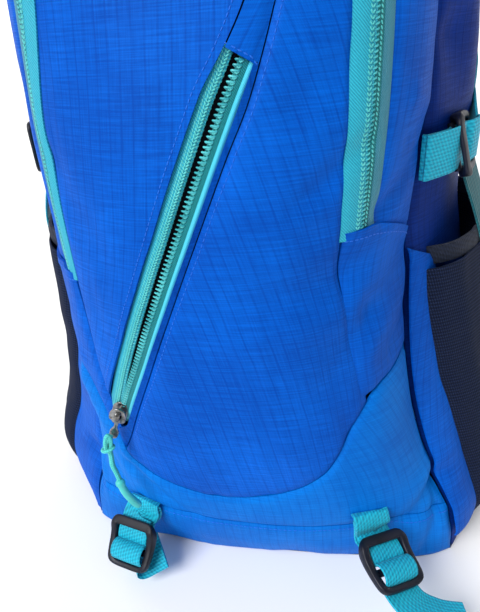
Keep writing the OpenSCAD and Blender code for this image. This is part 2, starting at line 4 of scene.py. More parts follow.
import bpy
import numpy as np
from mathutils import Matrix, Vector
from mathutils.bvhtree import BVHTree


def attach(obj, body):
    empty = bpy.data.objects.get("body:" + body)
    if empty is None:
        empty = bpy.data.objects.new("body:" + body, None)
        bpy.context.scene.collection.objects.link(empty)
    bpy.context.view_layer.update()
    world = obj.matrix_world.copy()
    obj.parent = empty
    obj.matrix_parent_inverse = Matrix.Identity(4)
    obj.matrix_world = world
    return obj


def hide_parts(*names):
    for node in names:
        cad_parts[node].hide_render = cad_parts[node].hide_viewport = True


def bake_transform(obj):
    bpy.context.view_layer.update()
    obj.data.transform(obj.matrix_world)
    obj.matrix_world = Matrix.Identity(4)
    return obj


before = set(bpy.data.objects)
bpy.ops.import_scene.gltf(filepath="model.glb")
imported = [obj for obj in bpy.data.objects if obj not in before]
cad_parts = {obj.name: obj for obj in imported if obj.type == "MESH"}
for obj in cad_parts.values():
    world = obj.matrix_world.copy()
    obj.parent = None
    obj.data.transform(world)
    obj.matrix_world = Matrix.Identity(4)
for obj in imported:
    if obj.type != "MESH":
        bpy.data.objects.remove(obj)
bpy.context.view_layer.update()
MM = 0.001
SIDES = ((-1, "left"), (1, "right"))
UP = np.array([0, 0, 1.0])

# ---- camera ----

CAMERA_PLACE = (0.046, -0.327, 0.323)
CAMERA_AZIMUTH, CAMERA_PITCH, CAMERA_ROLL = 12.0, 29.6, 4.5
FOCAL_SHARE = 542 / 612  # focal length over the picture's long side


def make_camera():
    data = bpy.data.cameras.new("camera")
    data.sensor_width = 36.0
    data.lens = data.sensor_width * FOCAL_SHARE
    data.clip_start = 0.01
    obj = bpy.data.objects.new("camera", data)
    bpy.context.scene.collection.objects.link(obj)
    obj.location = CAMERA_PLACE
    turn = Matrix.Rotation(math.radians(CAMERA_AZIMUTH), 4, "Z")
    tip = Matrix.Rotation(math.radians(90 - CAMERA_PITCH), 4, "X")
    roll = Matrix.Rotation(math.radians(-CAMERA_ROLL), 4, "Z")
    obj.rotation_euler = (turn @ tip @ roll).to_euler()
    bpy.context.scene.camera = obj


make_camera()

# ---- the pack's outer skin, the same functions as the part's ----

RIM = 400.0
SLUMP = -18.0
BACK_Y, BACK_T, FLOOR_T = 72.0, 8.0, 3.0
# height, front centre y, zip line x and y, gusset seam x and y, back corner x, bow of the side
STATIONS = np.array([
    [0, -97, 78, -93, 124, -81, 148, 12],
    [30, -111, 78, -99, 119, -82, 152, 18],
    [70, -120, 76, -104, 104, -75, 150, 19],
    [120, -124, 73, -104, 95, -66, 146, 17],
    [200, -120, 72, -96, 98, -50, 140, 11],
    [290, -107, 76, -86, 105, -36, 137, 12],
    [400, -76, 76, -64, 102, -24, 128, 2]], float)
SMILE = np.array([[-2, 148], [-1.4, 140], [-1, 96], [-0.6, 78], [0, 77], [0.6, 96], [1, 137], [1.6, 146],
                  [2, 148]], float)
BAND_Z = 46.0


def mix(a, b, t):
    return a + (b - a) * t


def smooth(t):
    t = np.clip(t, 0, 1)
    return t * t * (3 - 2 * t)


def unit(v):
    v = np.asarray(v, float)
    return v / np.maximum(np.linalg.norm(v, axis=-1, keepdims=True), 1e-9)


def curve(table, column, at):
    """Smooth curve through a column of a table whose first column is the parameter."""
    keys, values = table[:, 0], table[:, column]
    last = len(keys) - 1
    ahead = np.minimum(np.arange(last + 1) + 1, last)
    behind = np.maximum(np.arange(last + 1) - 1, 0)
    slopes = (values[ahead] - values[behind]) / (keys[ahead] - keys[behind])
    at = np.clip(at, keys[0], keys[-1])
    i = np.clip(np.searchsorted(keys, at, side="right") - 1, 0, last - 1)
    h = keys[i + 1] - keys[i]
    t = (at - keys[i]) / h
    return ((2 * t**3 - 3 * t**2 + 1) * values[i] + (t**3 - 2 * t**2 + t) * slopes[i] * h
            + (3 * t**2 - 2 * t**3) * values[i + 1] + (t**3 - t**2) * slopes[i + 1] * h)


def lean(z):
    return SLUMP * smooth((z - 40) / 180)


# the side panel at negative x sags: height, how far its seam is drawn in, extra bow
SAG = np.array([[0, 0, 10], [25, 0, 14], [60, -2, 9], [100, -8, 2], [150, -9, -1], [190, -5, -2],
                [230, 1, -5], [400, 2, -5]], float)


def drawn(s, z):
    return np.where(s < 0, curve(SAG, 1, z), 0)


def swell(s, z):
    return np.where(s < 0, curve(SAG, 2, z), 0)


def bowed(ax, ay, bx, by, k, bow):
    nx, ny = by - ay, ax - bx
    size = np.hypot(nx, ny)
    rise = bow * 4 * k * (1 - k)
    return mix(ax, bx, k) + nx / size * rise, mix(ay, by, k) + ny / size * rise


def outline(s, z):
    """Body outline at height z; s is 0 mid-front, 1 on the zip line, 2 on the seam, 3 at the back."""
    s, z = np.broadcast_arrays(np.asarray(s, float), np.asarray(z, float))
    mid, zx, zy, gx, gy, cx, bow = (curve(STATIONS, c, z) for c in range(1, 8))
    gx, bow = gx - drawn(s, z), bow + swell(s, z)
    a = np.abs(s)
    x1, y1 = zx * a, mix(mid, zy, np.minimum(a, 1) ** 2.4)
    x2, y2 = bowed(zx, zy, gx, gy, a - 1, 4)
    x3, y3 = bowed(gx, gy, cx, BACK_Y, a - 2, bow)
    x = np.where(a <= 1, x1, np.where(a <= 2, x2, x3))
    y = np.where(a <= 1, y1, np.where(a <= 2, y2, y3))
    return np.stack([np.where(s < 0, -x, x) + lean(z), y], -1)


def skin(s, z, out=0.0):
    """Point on the skin, moved outwards along the outline's normal."""
    s, z, out = np.broadcast_arrays(*(np.asarray(k, float) for k in (s, z, out)))
    p = outline(s, z)
    d = outline(s + 0.05, z) - outline(s - 0.05, z)
    n = unit(np.stack([d[..., 1], -d[..., 0]], -1))
    return np.concatenate([p + n * out[..., None], z[..., None]], -1)


def smile(s):
    return curve(SMILE, 1, s)


def to_s(x, z):
    """s of a point on the front, from its x and height."""
    return (x - lean(z)) / curve(STATIONS, 2, z)


def from_front(side, u):
    """Share of the way back from the front, for u that runs from negative to positive x."""
    return u if side > 0 else 1 - u


# ---- seams on the front ----

LEFT_EDGE = np.array([[70, -108], [120, -86.4], [205, -48.8], [290, -10.4], [307, 0.1], [322, 7.8], [350, 18],
                      [400, 30]], float)
RIGHT_EDGE = np.array([[70, -90.6], [120, -68.6], [205, -31], [290, 6.4], [303, 11.6], [400, 50]], float)
FOLD_SEAM = np.array([[70, -87.6], [120, -65.5], [205, -28], [265, -1.4], [285, 8], [303, 14.2], [321, 19.4],
                      [350, 27], [400, 40]], float)
TAPE_IN, TAPE_OUT = 0.885, 1.175  # s of the inner and outer edge of a side zip's tape
FRONT_END, SIDE_START, SIDE_END = 1.985, 2.008, 2.985  # s of the cloth edges beside the seams
SEAM_GAP = 0.4
SLOT_ENDS = ((0.1, 307.1), (12.2, 300.8))  # x and z of the two ends of the slot's upper edge
ZIP_END = {-1: 205.0, 1: 228.0}  # heights of the side zips' lower ends
DIAGONAL_ENDS = np.array([[-76, -110, 120], [7, -102, 308]], float)  # ends of the slanted zip


def diagonal_x(z):
    """x of the slanted zip's middle at height z."""
    (x0, _, z0), (x1, _, z1) = DIAGONAL_ENDS
    return mix(x0, x1, (z - z0) / (z1 - z0))


def closing(z):
    """1 along the open zip, 0 under its slider where the cloth closes again."""
    return smooth((z - 106) / 14)


def slot_edge(table, offset, z):
    """s of one edge of the slot, drawn towards the zip's middle where the cloth closes."""
    return to_s(mix(diagonal_x(z) + offset, curve(table, 1, z), closing(z)), z)


def slot_left(z):
    return slot_edge(LEFT_EDGE, -1.5, z)


def slot_right(z):
    return slot_edge(RIGHT_EDGE, -0.9, z)


def fold_seam(z):
    return to_s(curve(FOLD_SEAM, 1, z), z)


def zip_drift(side, z):
    """The zip on the negative x side runs outwards towards its lower end."""
    return 0.1 * smooth((335 - z) / 65) if side < 0 else 0 * z


def panel_edge(z, side):
    """The front panel's outer edge: along the side zip's tape, then slanting to the wedge's tip."""
    end, edge = ZIP_END[side], TAPE_IN + zip_drift(side, z)
    return np.where(z > end, edge, mix(1.0, edge, smooth((z - 130) / (end - 130))))


# ---- cloth relief ----


def noise(u, v, seed):
    """Smooth value noise from -1 to 1, one cell to a unit."""
    cells = np.random.RandomState(seed).uniform(-1, 1, (64, 64))
    u, v = np.broadcast_arrays(np.asarray(u, float), np.asarray(v, float))
    i, j = np.floor(u).astype(int), np.floor(v).astype(int)
    a, b = smooth(u - i), smooth(v - j)

    def cell(di, dj):
        return cells[(i + di) % 64, (j + dj) % 64]

    return mix(mix(cell(0, 0), cell(1, 0), a), mix(cell(0, 1), cell(1, 1), a), b)


# folds: from s and z, to s and z, width, height; positive height stands out
FOLDS = [
    (1.97, 66, 1.12, 40, 5.5, -3.2), (1.95, 72, 1.3, 62, 7, 2.2), (1.95, 62, 1.5, 8, 6, -3.0),
    (2.3, 75, 2.05, 30, 7, -3.0), (2.05, 40, 2.35, 10, 6, 2.4), (2.5, 60, 2.2, 22, 7, -2.2),
    (1.1, 187, 1.9, 205, 9, -2.4), (1.1, 168, 1.9, 190, 9, 1.6), (1.45, 160, 1.9, 172, 6, -1.8),
    (1.25, 233, 1.9, 256, 7, -4.2), (1.5, 262, 1.92, 268, 5, -1.6), (1.5, 280, 1.9, 274, 6, 1.4),
    (-0.98, 92, -0.55, 62, 6, 2.4), (-0.95, 80, -0.5, 48, 5, -2.4), (-1.5, 130, -1.05, 70, 9, 3.0),
    (-1.7, 95, -1.1, 45, 8, -2.6), (-1.9, 120, -1.4, 60, 8, 2.4), (0.72, 250, 0.87, 262, 6, -1.2),
    (0.6, 284, 0.87, 300, 7, -1.5), (0.7, 232, 0.87, 240, 5, -0.9), (2.1, 300, 2.35, 255, 9, -3.0),
    (2.3, 330, 2.5, 262, 10, 2.5), (2.55, 320, 2.7, 258, 10, -2.5), (-2.3, 330, -2.5, 262, 10, 2.5),
    (-2.55, 320, -2.7, 258, 10, -2.5), (-2.1, 300, -2.35, 255, 9, -3.0),
    (0.95, 210, 0.2, 199, 10, -2.8), (1.0, 190, 0.2, 181, 9, 1.6), (0.98, 266, 0.6, 243, 5, -2.2),
    (1.1, 186, 0.7, 150, 7, -1.8), (-0.2, 232, 0.1, 262, 10, -1.6), (-0.95, 262, -0.62, 215, 8, -1.6),
    (-2.06, 58, -1.86, 34, 4, -3.0), (-1.95, 66, -1.7, 40, 5, 2.0), (-1.3, 205, -1.7, 160, 6, -1.8),
    (-1.35, 150, -1.8, 110, 7, 1.8), (-1.6, 290, -1.95, 220, 8, -1.8)]
S_LENGTH = 62.0  # about how many millimetres of cloth a unit of s covers


def fold_height(s, z):
    total = np.zeros(np.broadcast(s, z).shape)
    for s0, z0, s1, z1, width, height in FOLDS:
        ax, ay, bx, by = s0 * S_LENGTH, z0, s1 * S_LENGTH, z1
        length2 = (bx - ax) ** 2 + (by - ay) ** 2
        px, py = s * S_LENGTH - ax, z - ay
        t = np.clip((px * (bx - ax) + py * (by - ay)) / length2, 0, 1)
        away = np.hypot(px - t * (bx - ax), py - t * (by - ay))
        total += height * np.exp(-((away / width) ** 2)) * (1 - 0.6 * t)
    return total


def relief(s, z):
    """How far the cloth stands off the plain skin."""
    s, z = np.broadcast_arrays(np.asarray(s, float), np.asarray(z, float))
    x = s * S_LENGTH
    sway = 1.2 * noise(x / 62 + 7, z / 75, 1) + 0.6 * noise(x / 24, z / 30, 2)
    upright = 0.16 * noise(x / 4.5, z / 90, 9) * smooth((1.1 - np.abs(s)) / 0.2)
    up = z - smile(s)
    front = smooth((1.25 - np.abs(s)) / 0.2)
    pucker = noise(x / 5.2 + up * 0.012, z / 60, 3)
    above = 0.95 * np.exp(-np.abs(up - 4) / 20) * np.where(up > 0, 1, 0.35) * pucker * front
    by_tape = np.exp(-np.clip(TAPE_IN - np.abs(s), 0, 9) * 75 / 14) * (np.abs(s) < TAPE_IN + 0.01) * (z > 225)
    tug = 0.6 * noise(z / 11 + x / 30, x / 40, 4) * by_tape
    sides = smooth((np.abs(s) - 1.9) / 0.3)
    crumple = (1.6 * noise(x / 26 + z / 50, z / 38 + 3, 5) + 0.7 * noise(x / 11, z / 17, 6)) * sides
    low = smooth((60 - z) / 40) * (0.9 * noise(x / 17, z / 20, 8))
    return sway + upright + above + tug + crumple + low + fold_height(s, z)


# ---- making meshes ----


def piece(name, points, faces, body, slot, material, replaces=(), uv=None, sharp=50):
    """A mesh from points in millimetres, in place on its body."""
    mesh = bpy.data.meshes.new(name)
    mesh.from_pydata((np.asarray(points) * MM).tolist(), [], [tuple(map(int, f)) for f in faces])
    mesh.polygons.foreach_set("use_smooth", [True] * len(mesh.polygons))
    mesh.set_sharp_from_angle(angle=math.radians(sharp))
    if uv is not None:
        corner = np.zeros(len(mesh.loops), int)
        mesh.loops.foreach_get("vertex_index", corner)
        layer = mesh.uv_layers.new(name="weave")
        layer.data.foreach_set("uv", (np.asarray(uv)[corner] * MM).astype(np.float32).ravel())
    mesh.materials.append(material)
    obj = bpy.data.objects.new(name, mesh)
    bpy.context.scene.collection.objects.link(obj)
    if replaces:
        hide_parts(*replaces)
    if isinstance(body, str):
        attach(obj, body)
    else:
        first, second, start, end = body
        np.array(start) * MM
        np.array(end) * MM
        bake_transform(obj)
    return obj


def grid_faces(rows, columns, start=0, flip=False):
    j, i = np.meshgrid(np.arange(rows - 1), np.arange(columns - 1), indexing="ij")
    a = (start + j * columns + i).ravel()
    quads = np.stack([a, a + 1, a + 1 + columns, a + columns], -1)
    return quads[:, ::-1] if flip else quads


def closed_sheet(outer, inner):
    """Points and faces of a thin closed sheet from its two grids of points."""
    rows, columns = outer.shape[:2]
    count = rows * columns
    index = np.arange(count).reshape(rows, columns)
    loop = np.concatenate([index[0, :-1], index[:-1, -1], index[-1, :0:-1], index[:0:-1, 0]])
    after = np.roll(loop, -1)
    rim = np.stack([loop, loop + count, after + count, after], -1)
    faces = np.concatenate([grid_faces(rows, columns), grid_faces(rows, columns, count, True), rim])
    return np.concatenate([outer.reshape(-1, 3), inner.reshape(-1, 3)]), faces


def running(points, axis):
    """Distance travelled along one axis of a grid of points."""
    step = np.linalg.norm(np.diff(points, axis=axis), axis=-1)
    start = np.zeros_like(np.take(step, [0], axis=axis))
    return np.cumsum(np.concatenate([start, step], axis=axis), axis=axis)


def grain(points):
    """Cloth coordinates of a grid of points: along the weft, and up the warp."""
    across = running(points, 1)
    mid = points.shape[1] // 2
    tangent = unit(points[:, mid + 1] - points[:, mid - 1])
    steps = np.einsum("ij,ij->i", np.diff(points[:, mid], axis=0), tangent[1:])
    drift = np.concatenate([[0], np.cumsum(steps)])
    return np.stack([across - across[:, [mid]] + drift[:, None], points[..., 2]], -1)


SEAM_SINK, SEAM_WIDTH = 1.3, 2.4  # how deep and how wide a seam dips
PLUMP, PLUMP_WIDTH = 1.0, 16.0  # how far the cloth swells away from its seams


def sheet(name, at, columns, rows, material, slot="shell_fabric", replaces=(), out=0.0, thick=1.6,
          seams="lrbt", body="pack", shape=None, wrinkled=1.0):
    """Cloth over a grid on the skin: at(u, v) gives s and z, seams names the edges that are sewn down.

    rows is a number of rows or the shares at which they lie.
    """
    heights = np.linspace(0, 1, rows + 1) if np.ndim(rows) == 0 else rows
    u, v = np.meshgrid(np.linspace(0, 1, columns + 1), heights)
    s, z = at(u, v)
    lift = out + wrinkled * relief(s, z) + (0 if shape is None else shape(u, v))
    flat = skin(s, z)
    across, up = running(flat, 1), running(flat, 0)
    far = np.full(s.shape, 1e3)
    edges = {"l": across, "r": across[:, [-1]] - across, "b": up, "t": up[[-1]] - up}
    near = np.minimum.reduce([far] + [edges[e] for e in seams])
    lift = lift - SEAM_SINK * np.exp(-((near / SEAM_WIDTH) ** 2))
    if seams:
        lift = lift + PLUMP * (1 - np.exp(-near / PLUMP_WIDTH))
    outer, inner = skin(s, z, lift), skin(s, z, lift - thick)
    points, faces = closed_sheet(outer, inner)
    uv = grain(flat).reshape(-1, 2)
    return piece(name, points, faces, body, slot, material, replaces, np.concatenate([uv, uv]))


def frames(route, across):
    """Unit tangent, side and normal of each point of a route."""
    t = unit(np.gradient(route, axis=0))
    g = np.broadcast_to(np.asarray(across, float), route.shape)
    side = unit(g - t * np.einsum("ij,ij->i", t, g)[:, None])
    return t, side, np.cross(t, side)


def sweep(route, across, profile, closed_ends=True):
    """Points, faces and cloth coordinates of a profile (side, normal) carried along a route."""
    _, side, normal = frames(route, across)
    profile = np.broadcast_to(profile, (len(route),) + np.shape(profile)[-2:])
    rings = (route[:, None] + profile[..., :1] * side[:, None] + profile[..., 1:] * normal[:, None])
    n, m = len(route), profile.shape[1]
    i, k = np.meshgrid(np.arange(n - 1), np.arange(m), indexing="ij")
    a, b = (i * m + k).ravel(), (i * m + (k + 1) % m).ravel()
    faces = [tuple(f) for f in np.stack([a, a + m, b + m, b], -1)]
    if closed_ends:
        faces += [tuple(range(m)), tuple((n - 1) * m + k for k in reversed(range(m)))]
    round_trip = np.concatenate([[0], np.cumsum(np.linalg.norm(np.diff(profile[0], axis=0), axis=1))])
    along = running(route, 0)
    uv = np.stack(np.broadcast_arrays(round_trip[None, :], along[:, None]), -1).reshape(-1, 2)
    return rings.reshape(-1, 3), faces, uv


def smooth_route(points, step):
    """A curve through points, with a point about every step."""
    points = np.asarray(points, float)
    length = running(points, 0)
    table = np.column_stack([length, points])
    t = np.linspace(0, length[-1], max(int(length[-1] / step), 2) + 1)
    return np.stack([curve(table, k, t) for k in (1, 2, 3)], -1)


def even_route(points, step):
    """The same route with evenly spaced points."""
    length = running(points, 0)
    t = np.arange(0, length[-1], step)
    return np.stack([np.interp(t, length, points[:, k]) for k in range(3)], -1)


def round_profile(radius, sides):
    a = np.linspace(0, 2 * np.pi, sides, endpoint=False)
    return radius * np.stack([np.cos(a), -np.sin(a)], -1)


def strap_profile(width, thick, bulge=0.12):
    """Flat webbing's section: square-edged with soft corners, a little thicker in the middle."""
    w, t, c = width / 2, thick / 2, min(thick * 0.35, 1.0)
    x = np.array([-w, -w + c, -w / 2, 0, w / 2, w - c, w, w, w - c, w / 2, 0, -w / 2, -w + c, -w])
    y = np.array([t - c, t, t + bulge * 0.7, t + bulge, t + bulge * 0.7, t, t - c])
    return np.stack([x, np.concatenate([y, -y[::-1]])], -1)


WEB_W, WEB_T = 22.0, 1.4


def strap(name, route, width, across, step=1.6, replaces=(), body="pack", material=None, thick=WEB_T,
          fuller=0.0):
    """A band of webbing through the points of a route; across is its sideways direction."""
    path = smooth_route(route, step)
    if np.ndim(across) > 1:
        keys = running(np.asarray(route, float), 0)
        t = np.linspace(0, keys[-1], len(path))
        turning = np.asarray(across, float)
        across = unit(np.stack([np.interp(t, keys, turning[:, k]) for k in range(3)], -1))
    points, faces, uv = sweep(path, across, strap_profile(width, thick, thick * 0.12 + fuller))
    return piece(name, points, faces, body, "webbing", material or webbing, replaces, uv, sharp=40)


def joined(parts):
    """Points and faces of several closed forms as one mesh."""
    points, faces, count = [], [], 0
    for p, f in parts:
        points.append(p)
        faces += [tuple(int(i) + count for i in face) for face in f]
        count += len(p)
    return np.concatenate(points), faces


def bead_template():
    """A grain shape one unit long, wide and high."""
    sides = 8
    a = np.linspace(0, 2 * np.pi, sides, endpoint=False)
    steps = ((-0.4, 0.32), (-0.22, 0.46), (0.22, 0.46), (0.4, 0.32))
    rings = [(x, r * np.cos(a), r * np.sin(a)) for x, r in steps]
    points = [np.stack(np.broadcast_arrays(np.float64(x), y, z), -1) for x, y, z in rings]
    points = np.concatenate(points + [np.array([[-0.5, 0, 0], [0.5, 0, 0]])])
    faces = []
    for r in range(3):
        for k in range(sides):
            n = (k + 1) % sides
            faces.append((r * sides + k, r * sides + n, (r + 1) * sides + n, (r + 1) * sides + k))
    for k in range(sides):
        n = (k + 1) % sides
        faces.append((4 * sides, n, k))
        faces.append((4 * sides + 1, 3 * sides + k, 3 * sides + n))
    return points, faces


def beads(centres, along, normals, size):
    """Points and faces of one grain at each centre; size is its length, width and height."""
    shape, faces = bead_template()
    t = unit(along)
    n = unit(normals - t * np.einsum("ij,ij->i", t, normals)[:, None])
    b = np.cross(n, t)
    shape = shape * np.asarray(size)
    points = (centres[:, None] + shape[None, :, :1] * t[:, None] + shape[None, :, 1:2] * b[:, None]
              + shape[None, :, 2:] * n[:, None])
    count = len(shape)
    every = [tuple(k * count + i for i in f) for k in range(len(centres)) for f in faces]
    return points.reshape(-1, 3), every


def on_cloth(cloths, points):
    """The nearest points of some pieces, and the cloth's normal there."""
    trees = [BVHTree.FromPolygons([v.co for v in c.data.vertices], [p.vertices for p in c.data.polygons])
             for c in cloths]
    places, normals = [], []
    for p in points:
        hits = [t.find_nearest(Vector(p * MM)) for t in trees]
        place, normal = min(hits, key=lambda h: h[3])[:2]
        places.append(np.array(place) / MM)
        normals.append(normal)
    return np.array(places), np.array(normals, float)


def stitches(name, cloths, s, z, pitch=2.8, length=2.0):
    """A row of stitches on some panels, along points of the skin given by s and z."""
    centres = even_route(skin(s, z, 2.5), pitch)
    places, normals = on_cloth([cloth[c] for c in cloths], centres)
    outwards = centres - [SLUMP / 2, 0, 200]
    facing_out = np.sign(np.einsum("ij,ij->i", normals, outwards))[:, None]
    normals = normals * facing_out
    size = (length, 0.55, 0.5)
    points, faces = beads(places + normals * 0.1, np.gradient(places, axis=0), normals, size)
    return piece(name, points, faces, "pack", "shell_fabric", thread)


def over_skin(s, z, out):
    """Points just off the skin, and the skin's outward directions there."""
    return skin(s, z, relief(s, z) * 0.7 + out), unit(skin(s, z, 1.0) - skin(s, z, 0.0))


def walk(points, normals, start, step):
    """Even distances along a route: distances, points, and the outward, forward and side directions."""
    length = running(points, 0)
    t = np.arange(start, length[-1], step)
    spots = np.stack([np.interp(t, length, points[:, k]) for k in range(3)], -1)
    outward = unit(np.stack([np.interp(t, length, normals[:, k]) for k in range(3)], -1))
    tangent = unit(np.gradient(spots, axis=0))
    return t, spots, outward, tangent, unit(np.cross(outward, tangent))


def coil(name, centre, normals, pitch, width, height, wire, body="pack", phase=0.0, sides=6):
    """A nylon coil wound along a route."""
    t, spine, outward, tangent, side = walk(centre, normals, 0, pitch / 14)
    turn = 2 * np.pi * t / pitch + phase
    route = (spine + side * (np.cos(turn) * width / 2)[:, None]
             + outward * (np.sin(turn) * height / 2)[:, None])
    points, faces, uv = sweep(route, tangent, round_profile(wire, sides))
    piece(name, points, faces, body, "zip", coil_nylon, (), uv)


def chevrons(name, route, normals, pitch, width, size, sides=(-1, 1)):
    """Rows of slanting stitches that hold a coil to its tape."""
    _, centre, outward, tangent, across = walk(route, normals, pitch / 2, pitch)
    parts = [beads(centre + across * side * width / 4, tangent + across * side * 0.62, outward, size)
             for side in sides]
    points, faces = joined(parts)
    piece(name, points, faces, "pack", "zip", thread_teal)


def tape_strip(name, at, rows, material, out, thick, bulge, replaces):
    """A strip of zip tape over a grid on the skin, fuller along its middle."""
    sheet(name, at, 6, rows, material, "zip", replaces, out, thick, "", "pack",
          lambda u, v: bulge * np.sin(np.pi * u), 0.7)


# ---- materials ----


def colour(red, green, blue):
    """Linear colour from everyday 0 to 255 values."""
    scaled = np.array([red, green, blue], float) / 255
    linear = np.where(scaled <= 0.04045, scaled / 12.92, ((scaled + 0.055) / 1.055) ** 2.4)
    return tuple(float(c) for c in linear) + (1.0,)


class Finish:
    """A material under construction: its nodes are added with short calls."""

    def __init__(self, name, **sockets):
        self.material = bpy.data.materials.new(name)
        self.material.use_nodes = True
        self.tree = self.material.node_tree
        self.shader = self.tree.nodes["Principled BSDF"]
        for key, value in sockets.items():
            self.shader.inputs[key.replace("_", " ")].default_value = value

    def node(self, kind, inputs=(), **settings):
        made = self.tree.nodes.new(kind)
        for key, value in settings.items():
            setattr(made, key, value)
        for key, value in dict(inputs).items():
            self.put(value, made.inputs[key])
        return made

    def put(self, value, socket):
        if isinstance(value, bpy.types.NodeSocket):
            self.tree.links.new(value, socket)
        else:
            socket.default_value = value

    def maths(self, operation, a, b=0.0, c=0.0):
        return self.node("ShaderNodeMath", {0: a, 1: b, 2: c}, operation=operation).outputs[0]

    def cloth_axes(self):
        at = self.node("ShaderNodeUVMap", uv_map="weave").outputs[0]
        split = self.node("ShaderNodeSeparateXYZ", {0: at})
        return at, split.outputs[0], split.outputs[1]

    def place(self):
        return self.node("ShaderNodeTexCoord").outputs["Object"]

    def noise(self, at, scale, stretch=(1, 1, 1), detail=2.0):
        moved = self.node("ShaderNodeMapping", {"Vector": at, "Scale": stretch}).outputs[0]
        return self.node("ShaderNodeTexNoise", {"Vector": moved, "Scale": scale, "Detail": detail}).outputs[0]

    def wave(self, along, pitch, phase=0.0):
        """A sine of one coordinate, from -1 to 1, with its pitch in millimetres."""
        turned = self.maths("MULTIPLY_ADD", along, 2 * math.pi / (pitch * MM), phase)
        return self.maths("SINE", turned)

    def spread(self, value, low, high, to_low=0.0, to_high=1.0):
        return self.node("ShaderNodeMapRange", {0: value, 1: low, 2: high, 3: to_low, 4: to_high}).outputs[0]

    def blend(self, share, first, second):
        return self.node("ShaderNodeMix", {0: share, 6: first, 7: second}, data_type="RGBA").outputs[2]

    def finish(self, base, height=None, depth=0.1, strength=1.0, rough=None):
        self.put(base, self.shader.inputs["Base Color"])
        if rough is not None:
            self.put(rough, self.shader.inputs["Roughness"])
        if height is not None:
            inputs = {"Height": height, "Distance": depth * MM, "Strength": strength}
            bump = self.node("ShaderNodeBump", inputs)
            self.put(bump.outputs[0], self.shader.inputs["Normal"])
        return self.material


def shell_cloth(name, light, dark, pitch=0.62, sheen=0.03, rough=0.55):
    """Coated ripstop nylon: plain weave, thicker weft threads and a soft sheen."""
    f = Finish(name, Roughness=rough, Sheen_Weight=sheen, Sheen_Roughness=0.4, Specular_IOR_Level=0.06)
    f.shader.inputs["Sheen Tint"].default_value = colour(60, 150, 255)
    at, across, up = f.cloth_axes()
    weave = f.maths("MULTIPLY", f.wave(across, pitch), f.wave(up, pitch))
    thread = f.noise(at, 1.0, (45, 1300, 1), 3)
    warp = f.noise(at, 1.0, (1300, 60, 1), 2)
    cloudy = f.noise(f.place(), 16, detail=3)
    tone = f.maths("ADD", f.maths("MULTIPLY", thread, 0.65), f.maths("MULTIPLY", warp, 0.35))
    share = f.maths("ADD", f.spread(tone, 0.3, 0.7, -0.1, 0.75), f.spread(cloudy, 0.35, 0.65, -0.15, 0.3))
    share = f.maths("MULTIPLY_ADD", weave, 0.14, share)
    rib = f.spread(f.wave(up, 5.5), 0.93, 1.0, 0, 0.5)
    rib2 = f.spread(f.wave(across, 5.5), 0.75, 1.0, 0, 0.6)
    share = f.maths("MULTIPLY_ADD", rib2, -0.42, share)
    ribs = f.maths("MAXIMUM", rib, rib2)
    height = f.maths("ADD", f.maths("MULTIPLY", weave, 0.35), f.maths("ADD", tone, ribs))
    base = f.blend(share, dark, light)
    return f.finish(base, height, 0.12, 0.55, f.spread(tone, 0.3, 0.7, rough + 0.06, rough - 0.06))


def webbing_cloth(name, light, dark, cell=(1.9, 2.3), rough=0.55):
    """Flat woven webbing: rows of floats across the width, each row set half a float on."""
    f = Finish(name, Roughness=rough, Sheen_Weight=0.05, Specular_IOR_Level=0.2)
    at, across, up = f.cloth_axes()
    rows = f.wave(across, cell[0])
    floats = f.wave(f.maths("ADD", up, f.maths("MULTIPLY", across, 0.5)), cell[1])
    fine = f.noise(at, 1.0, (1500, 500, 1), 2)
    weave = f.maths("MULTIPLY_ADD", floats, 0.5, f.maths("MULTIPLY", rows, 0.6))
    share = f.maths("ADD", f.spread(weave, -0.9, 0.9, 0.1, 0.8), f.spread(fine, 0.35, 0.65, -0.15, 0.15))
    worn = f.noise(f.place(), 60, detail=3)
    share = f.maths("ADD", share, f.spread(worn, 0.4, 0.7, 0, 0.12))
    height = f.maths("ADD", weave, f.maths("MULTIPLY", fine, 0.5))
    return f.finish(f.blend(share, dark, light), height, 0.22, 0.7)


def tape_cloth(name, light, dark, pitch=1.15, rough=0.5):
    """Zip tape: a slanting herringbone."""
    f = Finish(name, Roughness=rough, Sheen_Weight=0.05, Specular_IOR_Level=0.2)
    at, across, up = f.cloth_axes()
    slant = f.maths("ADD", f.maths("MULTIPLY", across, 0.9), f.maths("MULTIPLY", up, 0.75))
    rib = f.wave(slant, pitch)
    fine = f.noise(at, 1.0, (900, 900, 1), 2)
    share = f.maths("ADD", f.spread(rib, -1, 1, 0.1, 0.85), f.spread(fine, 0.3, 0.7, -0.12, 0.12))
    return f.finish(f.blend(share, dark, light), f.maths("MULTIPLY_ADD", fine, 0.5, rib), 0.14, 0.6)


def mesh_cloth(name, light, dark, pitch=2.3, rough=0.75):
    """Knitted mesh: rows of small holes set half a hole on."""
    f = Finish(name, Roughness=rough, Sheen_Weight=0.02, Specular_IOR_Level=0.08)
    at, across, up = f.cloth_axes()
    a = f.wave(f.maths("ADD", across, f.maths("MULTIPLY", up, 0.6)), pitch)
    b = f.wave(f.maths("SUBTRACT", across, f.maths("MULTIPLY", up, 0.6)), pitch)
    hole = f.spread(f.maths("MULTIPLY", a, b), -0.2, 0.75)
    fine = f.noise(at, 1.0, (1400, 700, 1), 2)
    share = f.maths("MULTIPLY_ADD", fine, 0.5, f.maths("MULTIPLY", hole, 0.7))
    return f.finish(f.blend(share, dark, light), hole, 0.5, 0.8)


